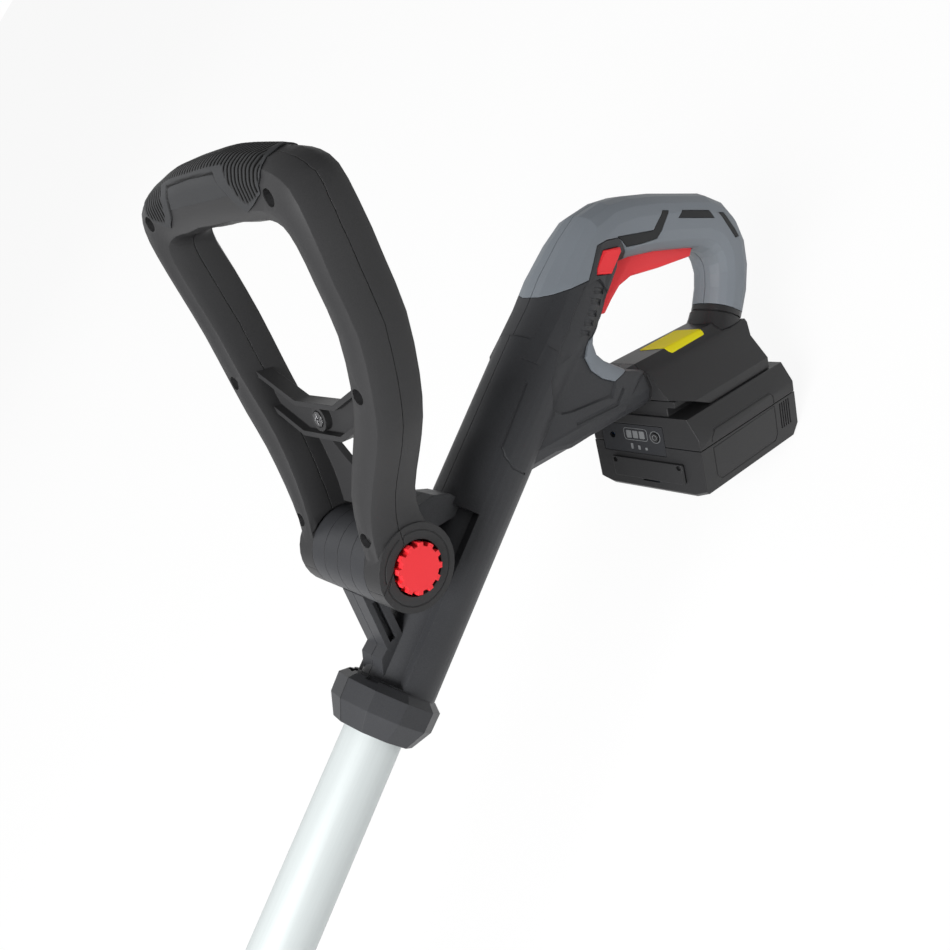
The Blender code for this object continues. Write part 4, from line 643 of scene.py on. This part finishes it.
def wrapped(name, columns, rows, grow, height, wall):
    """A sheet round the bar, with a wall thickness in mm."""
    bpy.ops.object.select_all(action="DESELECT")
    bpy.ops.mesh.primitive_grid_add(x_subdivisions=len(columns) - 1, y_subdivisions=rows, size=2.0)
    sheet = bpy.context.object
    sheet.name = name
    for v in sheet.data.vertices:
        across = columns[round((v.co.x + 1.0) * 0.5 * (len(columns) - 1))]
        share = (v.co.y + 1.0) * 0.5
        first = along(FRONT_EDGE, across) + grow / MM_PER_DEGREE
        last = along(REAR_EDGE, across) - grow / MM_PER_DEGREE
        turn = first + (last - first) * share
        radius = even_radius(across, turn) + height(across, turn)
        turn = math.radians(turn)
        v.co = point(BAR, -radius * math.sin(turn), across, radius * math.cos(turn))
    modify(sheet, "SOLIDIFY", thickness=wall * MM, offset=-1.0)
    outwards(sheet)
    return sheet


def pocket_height(across, turn):
    """The pocket's tool stands clear of the bar all over."""
    return POCKET_TOP


for name in ("handle_front", "handle_rear"):
    wall = POCKET_TOP + POCKET_DEPTH
    tool = wrapped("pocket_tool", POCKET_COLUMNS, POCKET_ROWS, 0.0, pocket_height, wall)
    before = len(skins[name].data.polygons)
    carve(skins[name], tool, HANDLE_ANGLE)
    print(name, "pocket: faces", before, "to", len(skins[name].data.polygons))

# %% [markdown]
# The height gives the ribs: a flat top, steep sides and a narrow floor, repeated along Y, and only
# inside the rib outline. A share between 0 and 1 says how far a place is inside an outline or a
# groove, and a short ramp between the two gives each of them a sloped side.

# %% Shares of the pad's pattern
V_START, V_END = 28.0, 36.0
PANEL_V_START = 21.0
OUTER_V = 44.0
V_SLANT = 0.45
PAD_SIDE = 52.0
RIB_EDGE, PANEL_RIM = 0.5, 0.4
LINE_REACH, LINE_FADE = 1.3, 0.35
GROOVE_HALF, GROOVE_SLOPE = 0.70, 0.28


def ramp(value):
    """A value kept between 0 and 1."""
    return min(max(value, 0.0), 1.0)


def inside_ribs(across, turn):
    """0 on the frame and 1 among the ribs, with a short slope between."""
    front = (along(RIB_FRONT, across) - turn) * MM_PER_DEGREE
    rear = (turn - along(RIB_REAR, across)) * MM_PER_DEGREE
    slanted = V_START < abs(across) < V_END or abs(across) > OUTER_V
    steep = V_SLANT if slanted else 1.0
    return ramp(min(front * steep, rear * steep, PAD_SIDE - abs(across)) / RIB_EDGE + 0.5)


def groove_share(across):
    """1 on a groove's floor and 0 on a rib's top."""
    phase = (abs(across) / RIB_PITCH + 0.5) % 1.0 - 0.5
    return ramp((GROOVE_HALF - abs(phase) * RIB_PITCH) / GROOVE_SLOPE)


def past_panel(across, turn):
    """Distance in mm past the smooth panel's edge."""
    steep = V_SLANT if PANEL_V_START < abs(across) < V_END else 1.0
    return (turn - along(PANEL_EDGE, across)) * MM_PER_DEGREE * steep


def inside_panel(across, turn):
    """1 on the smooth panel in front, between the two V shapes."""
    return ramp(past_panel(across, turn) / PANEL_RIM + 0.5)


def panel_line(across, turn):
    """1 on the line round the smooth panel, 0 away from it."""
    if abs(across) >= V_END:
        return 0.0
    return ramp(LINE_REACH - abs(past_panel(across, turn)) / LINE_FADE)


print("shares at the middle of the top:", inside_ribs(0.0, 0.0), inside_panel(0.0, 0.0))

# %% [markdown]
# The shares now give one height. Five columns of the grid are spent on each rib, so that both of
# its sides stay crisp without a fine mesh everywhere. How far each place lies in a groove or on the
# line round the panel is kept on the mesh as an attribute, and the finish paints shade there.

# %% The pad itself
RIB_TOP = 0.25
FRAME_TOP = 0.15
PANEL_TOP = -0.30
GROOVE_FLOOR = -0.95
LINE_DEPTH = 0.45
END_DROP, END_START, END_LENGTH = 0.35, 47.5, 3.0
END_TURN, END_FADE = 75.0, 20.0
PAD_GROW = -0.08
PAD_WALL = 0.6
PAD_ROWS = 112
PAD_END, PAD_LAST, PAD_LIMIT = 53.2, 52.8, 52.9
RIB_STEPS = (-0.70, -0.42, 0.42, 0.70, 1.24)


def pad_height(across, turn):
    """Height in mm of the pad over the bar, lower at its outer ends."""
    ribs = inside_ribs(across, turn)
    end = ramp((abs(across) - END_START) / END_LENGTH) * ramp((END_TURN - turn) / END_FADE)
    top = FRAME_TOP + (RIB_TOP - FRAME_TOP) * ribs
    top = top + (PANEL_TOP - FRAME_TOP) * inside_panel(across, turn) - END_DROP * end
    top -= LINE_DEPTH * panel_line(across, turn)
    return top + (GROOVE_FLOOR - top) * ribs * groove_share(across)


pad_columns = [-PAD_LAST]
for number in range(-21, 22):
    pad_columns += [number * RIB_PITCH + step for step in RIB_STEPS]
pad_columns = [across for across in pad_columns if abs(across) < PAD_LIMIT]
pad_columns = sorted(set(round(across, 3) for across in [-PAD_END, *pad_columns, PAD_END]))
pad = wrapped("handle_pad_ribbed", pad_columns, PAD_ROWS, PAD_GROW, pad_height, PAD_WALL)
smooth(pad, 40.0)
# The attribute marks where shade is painted: in the grooves and on the line round the panel.
depth = pad.data.attributes.new("groove", "FLOAT", "POINT")
from_bar = BAR.inverted()
for v, value in zip(pad.data.vertices, depth.data):
    local = from_bar @ v.co * 1000.0
    turn = math.degrees(math.atan2(-local.x, local.z))
    groove = inside_ribs(local.y, turn) * groove_share(local.y)
    value.value = max(0.9 * panel_line(local.y, turn), groove)
print("pad:", len(pad.data.polygons), "faces,", len(pad_columns), "columns")

# %% [markdown]
# Soft plastic is duller than the shells round it. Its narrow grooves and the thin line round the
# smooth panel get a near-black colour, which is painted shade. The mesh's own attribute says where
# they are, so the painted shade follows the ribs exactly.

# %% The pad's soft plastic
pad_finish = Finish("pad_soft_black", (0.022, 0.023, 0.024), 0.58)
pad_finish.shader.inputs["Specular IOR Level"].default_value = SHINE
cloud = pad_finish.noise(30.0, 3.0)
fleck = pad_finish.noise(GRAIN, 2.0)
# Where shade is painted, read from the mesh's attribute.
painted_groove_shade = pad_finish.node("ShaderNodeAttribute", {"attribute_name": "groove"}, output=2)
drift = fleck * 0.6 + cloud * 0.4
top_colour = pad_finish.blend(drift, (0.026, 0.027, 0.028), (0.042, 0.043, 0.046))
# Painted shade: the grooves and the panel's line are blended towards near-black.
pad_finish.feed("Base Color", pad_finish.blend(painted_groove_shade, top_colour, (0.004, 0.004, 0.004)))
pad_finish.feed("Roughness", cloud * 0.12 + 0.52)
pad_finish.feed("Normal", pad_finish.bump(fleck, 0.25, GRAIN_HEIGHT))
pad.data.materials.append(pad_finish.material)
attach(pad, BODY_OF["handle_pad"])
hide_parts("handle_pad")
print("pad painted")

# %% [markdown]
# ## Lines and grooves
# A small ball cutter follows a line over a curved shell and leaves a round groove. The same works
# here: a broken line is drawn on the side view, and a needle finds the surface under its points.

# %% Find the surface
NEEDLE_START = 90.0
NEEDLE_LENGTH = 0.12

trees = {}


def touch(names, start, direction):
    """The first skin that a needle meets, and where."""
    best = (None, None)
    for name in names:
        if name not in trees:
            trees[name] = tree_of(skins[name])
        hit, _, _, away = trees[name].ray_cast(start, direction, NEEDLE_LENGTH)
        if hit and (best[1] is None or away < (best[1] - start).length):
            best = (name, hit)
    return best


def from_side(names, place, side, x, z):
    """The first skin that a needle meets from one side of a frame, and where."""
    return touch(names, point(place, x, side * NEEDLE_START, z), Vector((0.0, -side, 0.0)))


print("needle ready,", NEEDLE_LENGTH, "m long")

# %% [markdown]
# A round tube laid along the points that the needle found is then cut out of the skin. Both sides
# of the tool get the same line.

# %% Lay a tube along a line and cut it out
LINE_STEP = 2.0


def stepped(line, step):
    """Even steps along a broken line."""
    places = []
    for (x0, z0), (x1, z1) in zip(line, line[1:]):
        count = max(1, round(math.hypot(x1 - x0, z1 - z0) / step))
        for k in range(count):
            places.append((x0 + (x1 - x0) * k / count, z0 + (z1 - z0) * k / count))
    return places + [line[-1]]


def tube(name, paths, radius, closed=False):
    """Round tubes of a radius in mm along paths of points, as one mesh."""
    curve = bpy.data.curves.new(name, "CURVE")
    curve.dimensions = "3D"
    curve.bevel_depth = radius * MM
    curve.bevel_resolution = 2
    curve.use_fill_caps = True
    for path in paths:
        spline = curve.splines.new("POLY")
        spline.points.add(len(path) - 1)
        spline.use_cyclic_u = closed
        for knot, place in zip(spline.points, path):
            knot.co = (*place, 1.0)
    piece = bpy.data.objects.new(name, curve)
    bpy.context.scene.collection.objects.link(piece)
    only(piece)
    bpy.ops.object.convert(target="MESH")
    return bpy.context.object


def score(names, place, lines, radius, depth, angle):
    """Scores side-view lines, in mm, into both sides of some skins."""
    cuts = {}
    for line in lines:
        for side in (-1.0, 1.0):
            lift = Vector((0.0, side * (radius - depth) * MM, 0.0))
            runs = {}
            for x, z in stepped(line, LINE_STEP):
                name, hit = from_side(names, place, side, x, z)
                if name:
                    runs.setdefault(name, []).append(hit + lift)
            for name, path in runs.items():
                if len(path) > 1:
                    cuts.setdefault(name, []).append(path)
    for name, paths in cuts.items():
        carve(skins[name], tube("score_tool", paths, radius), angle)
        trees.pop(name, None)
    print("scored", sum(len(paths) for paths in cuts.values()), "lines into", sorted(cuts))


print("cutter ready: a point every", LINE_STEP, "mm")

# %% [markdown]
# The housing has a sunk panel under the lock-off button. Its tool is a sheet with a thickness: the
# inner wall lies a little over a millimetre under the surface, and the outer one stands above it
# and is wider along the front, so that the cut gets a sloped edge that catches the light.

# %% Sunk panel of the housing
SHELL = ("housing_left", "housing_right")
PANEL_FRONT = ((244.6, 4.6), (232.0, 4.4), (198.0, 2.4), (191.4, 0.6), (181.2, -9.5),
               (183.0, -18.0), (187.7, -24.5), (209.0, -46.5))
PANEL_REAR = ((253.6, -2.6), (253.6, -16.0), (238.0, -22.0), (232.0, -25.0), (228.0, -30.0),
              (228.0, -36.0), (226.0, -42.0), (219.5, -44.0))
PANEL_DEPTH = 1.25
LEAST_FLANK, USUAL_FLANK = 16.5, 17.2
FRONT_SLOPE, END_SLOPE = 3.2, 2.5


def share_of(line, share):
    """A place at a share of a line's corners."""
    scaled = share * (len(line) - 1)
    number = min(int(scaled), len(line) - 2)
    rest = scaled - number
    return tuple(p + (q - p) * rest for p, q in zip(line[number], line[number + 1]))


def sunk_tool(side, depth):
    """The closed sheet that cuts the panel on one side."""
    bpy.ops.object.select_all(action="DESELECT")
    bpy.ops.mesh.primitive_grid_add(x_subdivisions=9, y_subdivisions=42, size=2.0)
    sheet = bpy.context.object
    flat = [(v.co.x, v.co.y) for v in sheet.data.vertices]
    modify(sheet, "SOLIDIFY", thickness=0.01)
    for number, (u, w) in enumerate(flat):
        fx, fz = share_of(PANEL_FRONT, (w + 1.0) / 2.0)
        rx, rz = share_of(PANEL_REAR, (w + 1.0) / 2.0)
        across = (u + 1.0) / 2.0
        x, z = fx + (rx - fx) * across, fz + (rz - fz) * across
        hit = from_side(SHELL, TOOL, side, x, z)[1]
        level = abs(hit.y) * 1000.0 if hit else 0.0
        level = level if level > LEAST_FLANK else USUAL_FLANK
        push = FRONT_SLOPE * max(0.0, 1.0 - across * 3.0) / math.hypot(fx - rx, fz - rz)
        end = END_SLOPE * max(0.0, w * 20.0 - 19.0)
        outer_x, outer_z = x + (fx - rx) * push - end * 0.3, z + (fz - rz) * push - end
        outer, inner = sheet.data.vertices[number], sheet.data.vertices[number + len(flat)]
        outer.co = point(TOOL, outer_x, side * (level + 1.0), outer_z)
        inner.co = point(TOOL, x, side * (level - depth), z)
    outwards(sheet)
    return sheet


for side in (-1.0, 1.0):
    name = from_side(SHELL, TOOL, side, 200.0, -30.0)[0]
    tool = sunk_tool(side, PANEL_DEPTH)
    before = len(skins[name].data.polygons)
    carve(skins[name], tool, HOUSING_ANGLE)
    print(name, "panel: faces", before, "to", len(skins[name].data.polygons))
trees.clear()

# %% [markdown]
# One line runs along the housing's upper flank and turns down, another follows the strut, and five
# short grooves under the button are for the thumb. All are drawn once and scored into both sides.

# %% Housing lines
FLANK_LINE = (((184.0, 13.0), (149.0, 12.0), (145.4, 9.0), (142.3, 2.9), (143.4, -7.0)),)
STRUT_LINE = (((182.6, -30.0), (206.5, -53.0), (216.0, -53.0)),)
THUMB_GROOVES = (
    ((246.8, -2.6), (252.0, -12.0)), ((240.7, -3.0), (245.6, -12.6)),
    ((234.3, -4.1), (238.3, -12.4)), ((228.6, -4.4), (232.8, -12.4)),
    ((223.0, -5.6), (227.0, -13.4)),
)
score(SHELL, TOOL, FLANK_LINE, radius=0.7, depth=0.45, angle=HOUSING_ANGLE)
score(SHELL, TOOL, STRUT_LINE, radius=1.2, depth=0.7, angle=HOUSING_ANGLE)
score(SHELL, TOOL, THUMB_GROOVES, radius=2.0, depth=0.9, angle=HOUSING_ANGLE)

# %% [markdown]
# A hand closes round the grip, so its edges are rounded by a Bevel modifier. It takes every edge
# over a small angle, because the grip's outline is made of short straight runs that would show.

# %% Softened grip
GRIP_WIDTH = 2.2
GRIP_EDGE_ANGLE = 9.0


def soften(piece, width, angle, shading):
    """Rounds edges sharper than an angle by a width in mm, and smooths the shading."""
    modify(piece, "BEVEL", width=width * MM, segments=3, limit_method="ANGLE",
           angle_limit=math.radians(angle), use_clamp_overlap=True)
    smooth(piece, shading)


for name in ("grip_left", "grip_right"):
    soften(skins[name], GRIP_WIDTH, GRIP_EDGE_ANGLE, PLAIN_ANGLE)
    print(name, "softened:", len(skins[name].data.polygons), "faces")

# %% [markdown]
# ## The battery's front
# The gauge has three windows in a rounded frame, a ring round its button and a row of small
# marks below. Each window is a thin plate with rounded corners, modelled in millimetres from a
# cube and then laid on the panel: its four short edges are bevelled, and its face is inset.

# %% A plate with rounded corners
TINY = 1e-6
PLATE_RIM, PLATE_RISE = 0.12, 0.10


def select_where(piece, kind, wanted):
    """In edit mode, selects the edges or faces of a piece that pass a test."""
    bpy.ops.mesh.select_mode(type=kind)
    bpy.ops.mesh.select_all(action="DESELECT")
    cage = bmesh.from_edit_mesh(piece.data)
    for part in cage.edges if kind == "EDGE" else cage.faces:
        part.select_set(wanted(part))
    bmesh.update_edit_mesh(piece.data)


def runs_along_x(edge):
    """True for an edge through the plate's thickness."""
    ends = edge.verts[1].co - edge.verts[0].co
    return abs(ends.y) < TINY and abs(ends.z) < TINY


def faces_out(face):
    """True for the plate's front face."""
    return face.normal.x < -0.9


def plate(name, place, centre, size, corner):
    """A block with rounded corners in the YZ plane of a frame, in mm."""
    bpy.ops.object.select_all(action="DESELECT")
    bpy.ops.mesh.primitive_cube_add(size=1.0)
    piece = bpy.context.object
    piece.name = name
    piece.data.transform(Matrix.Diagonal((*size, 1.0)))
    bpy.ops.object.mode_set(mode="EDIT")
    select_where(piece, "EDGE", runs_along_x)
    bpy.ops.mesh.bevel(offset=corner, segments=5, affect="EDGES")
    select_where(piece, "FACE", faces_out)
    bpy.ops.mesh.inset(thickness=PLATE_RIM, depth=PLATE_RISE)
    bpy.ops.object.mode_set(mode="OBJECT")
    centre = Matrix.Translation([v * MM for v in centre])
    piece.data.transform(place @ centre @ Matrix.Scale(MM, 4))
    smooth(piece, 30.0)
    return piece


def wear(piece, finish, body):
    """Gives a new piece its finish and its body."""
    piece.data.materials.clear()
    piece.data.materials.append(finish)
    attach(piece, body)


print("helpers ready: plate, wear")

# %% [markdown]
# The windows and the marks are the same plate in different sizes, and each has its own mesh.

# %% Gauge windows and marks
PANEL_FACE = 224.55

paint["mark"] = moulded("mark_grey", (0.17, 0.175, 0.18), 0.40, 0.08, rounding=0.0)
for number in range(3):
    window = plate("gauge_window_%d" % (number + 1), PACK,
                   (PANEL_FACE, 11.1 - 4.9 * number, 62.5), (0.5, 3.9, 4.9), 0.6)
    wear(window, paint["mark"], BODY_OF["gauge_panel"])
    mark = plate("gauge_mark_%d" % (number + 1), PACK,
                 (PANEL_FACE, 10.2 - 5.4 * number, 54.6 - 0.45 * number),
                 (0.4, 1.7, 3.6 - 0.9 * number), 0.3)
    wear(mark, paint["mark"], BODY_OF["gauge_panel"])
print("gauge: 3 windows, 3 marks")

# %% [markdown]
# The frame and the rings are beads: thin closed tubes that stand half out of the surface. A ring
# is a rounded square whose corners are nearly as large as half its side.

# %% Gauge frame and rings
BEAD = 0.22


def rounded(width, height, corner, steps=6):
    """Points of a rounded rectangle about the origin."""
    points = []
    for number, (sy, sz) in enumerate(((1, 1), (-1, 1), (-1, -1), (1, -1))):
        for k in range(steps + 1):
            turn = math.radians(90.0 * number + 90.0 * k / steps)
            points.append((sy * (width / 2 - corner) + corner * math.cos(turn),
                           sz * (height / 2 - corner) + corner * math.sin(turn)))
    return points


def bead(name, centre, shape, radius, carrier):
    """A closed bead round a place on the battery's front, on the body of a node."""
    x, y, z = centre
    path = [point(PACK, x, y + dy, z + dz) for dy, dz in rounded(*shape)]
    piece = tube(name, [path], radius, True)
    wear(piece, paint["mark"], BODY_OF[carrier])


bead("gauge_frame", (224.6, 6.2, 62.5), (17.6, 7.6, 1.8), BEAD, "gauge_panel")
bead("gauge_ring", (224.6, -8.5, 62.0), (7.4, 7.4, 3.69), BEAD, "gauge_panel")
bead("gauge_button_ring", (223.9, -8.5, 62.0), (3.0, 3.0, 1.49), 0.2, "gauge_button")
print("gauge: frame and two rings")

# %% [markdown]
# A moulded case has no knife edges. The battery's two halves, the dock and the latch get theirs
# rounded, and a round hole is sunk beside the gauge with a short tube as its tool.

# %% Softened edges and the battery's hole
SOFTENED_ANGLE = 50.0
EDGE_ANGLE = 30.0
EDGE_WIDTHS = (("battery_case_lower", 1.2), ("battery_case_upper", 1.2), ("battery_dock", 1.0),
               ("battery_latch", 0.6))
HOLE_RADIUS = 2.1

for name, width in EDGE_WIDTHS:
    before = len(skins[name].data.polygons)
    soften(skins[name], width, EDGE_ANGLE, SOFTENED_ANGLE)
    print(name, "faces", before, "to", len(skins[name].data.polygons))
hole_path = [point(PACK, 223.0, 24.7, 60.6), point(PACK, 227.4, 24.7, 60.6)]
for name in ("battery_case_upper", "gauge_panel"):
    carve(skins[name], tube("hole_tool", [hole_path], HOLE_RADIUS), SOFTENED_ANGLE)

# %% [markdown]
# ## The blank label on the dock
# A yellow label with nothing on it lies on the dock's top and bends over its near edge. Its grid
# has rounded corners, each of its points drops onto the dock along the battery's height, and a
# Solidify modifier gives the film its thickness.

# %% Label
LABEL_CORNERS = ((239.5, 5.5), (277.5, 7.0), (280.8, -12.2), (246.4, -12.8))
CORNER_START, CORNER_LENGTH = 0.9, 0.1
CORNER_ROUND = 0.16
DROP_FROM = 150.0
LABEL_LIFT = 0.00025
LABEL_FILM = 0.0002

bpy.ops.object.select_all(action="DESELECT")
bpy.ops.mesh.primitive_grid_add(x_subdivisions=36, y_subdivisions=24, size=2.0)
label = bpy.context.object
label.name = "dock_label"
down = PACK.to_3x3() @ Vector((0.0, 0.0, -1.0))
lift = PACK.to_3x3() @ Vector((0.0, 0.0, LABEL_LIFT))
(a0, y0), (a1, y1), (a2, y2), (a3, y3) = LABEL_CORNERS
for v in label.data.vertices:
    u, w = v.co.x, v.co.y
    over = max(0.0, abs(u) - CORNER_START) / CORNER_LENGTH
    w *= 1.0 - CORNER_ROUND * (1.0 - math.sqrt(max(0.0, 1.0 - over * over)))
    near, far = (1.0 - w) / 2.0, (1.0 + w) / 2.0
    left, right = (1.0 - u) / 2.0, (1.0 + u) / 2.0
    a = far * (left * a0 + right * a1) + near * (left * a3 + right * a2)
    y = far * (left * y0 + right * y1) + near * (left * y3 + right * y2)
    v.co = touch(("battery_dock",), point(PACK, a, y, DROP_FROM), down)[1] + lift
modify(label, "SOLIDIFY", thickness=LABEL_FILM, offset=-1.0)
smooth(label, 60.0)
paint["label"] = moulded("label_yellow", (0.98, 0.90, 0.01), 0.60, 0.02, rounding=0.0)
wear(label, paint["label"], BODY_OF["battery_dock"])
print("label:", len(label.data.polygons), "faces")

# %% [markdown]
# ## Last lines
# A turned line runs round the knob's seat on the hub, the battery's side has an outline, the
# latch has a notch near each end, and the collar has a pocket on each side of its ridge.

# %% Hub, battery and collar lines
HUB_X, HUB_Z, HUB_LINE = 76.8, 43.1, 17.3
CASE_OUTLINE = (
    (236.0, 37.0), (236.0, 60.0), (240.0, 64.5), (297.0, 64.5), (300.0, 61.0), (300.0, 37.0),
    (297.0, 33.5), (240.0, 33.5), (236.0, 37.0),
)

circle = []
for turn in range(0, 361, 10):
    turn = math.radians(turn)
    circle.append((HUB_X + HUB_LINE * math.cos(turn), HUB_Z + HUB_LINE * math.sin(turn)))
shells = ("handle_front", "handle_rear")
score(shells, TOOL, (circle,), radius=0.5, depth=0.35, angle=HANDLE_ANGLE)
cases = ("battery_case_lower", "battery_case_upper")
score(cases, PACK, (CASE_OUTLINE,), radius=0.6, depth=0.4, angle=SOFTENED_ANGLE)
ends = [[point(PACK, 220.5, y, 45.0), point(PACK, 224.0, y, 45.0)] for y in (-24.0, 24.0)]
carve(skins["battery_latch"], tube("latch_tool", ends, 1.7), SOFTENED_ANGLE)
for name, side in (("housing_left", -1.0), ("housing_right", 1.0)):
    path = [point(TOOL, 24.0, side * 5.0, 21.5), point(TOOL, 23.6, side * 11.6, 18.6)]
    carve(skins[name], tube("pocket_tool", [path], 2.4), HOUSING_ANGLE)
print("last lines cut")
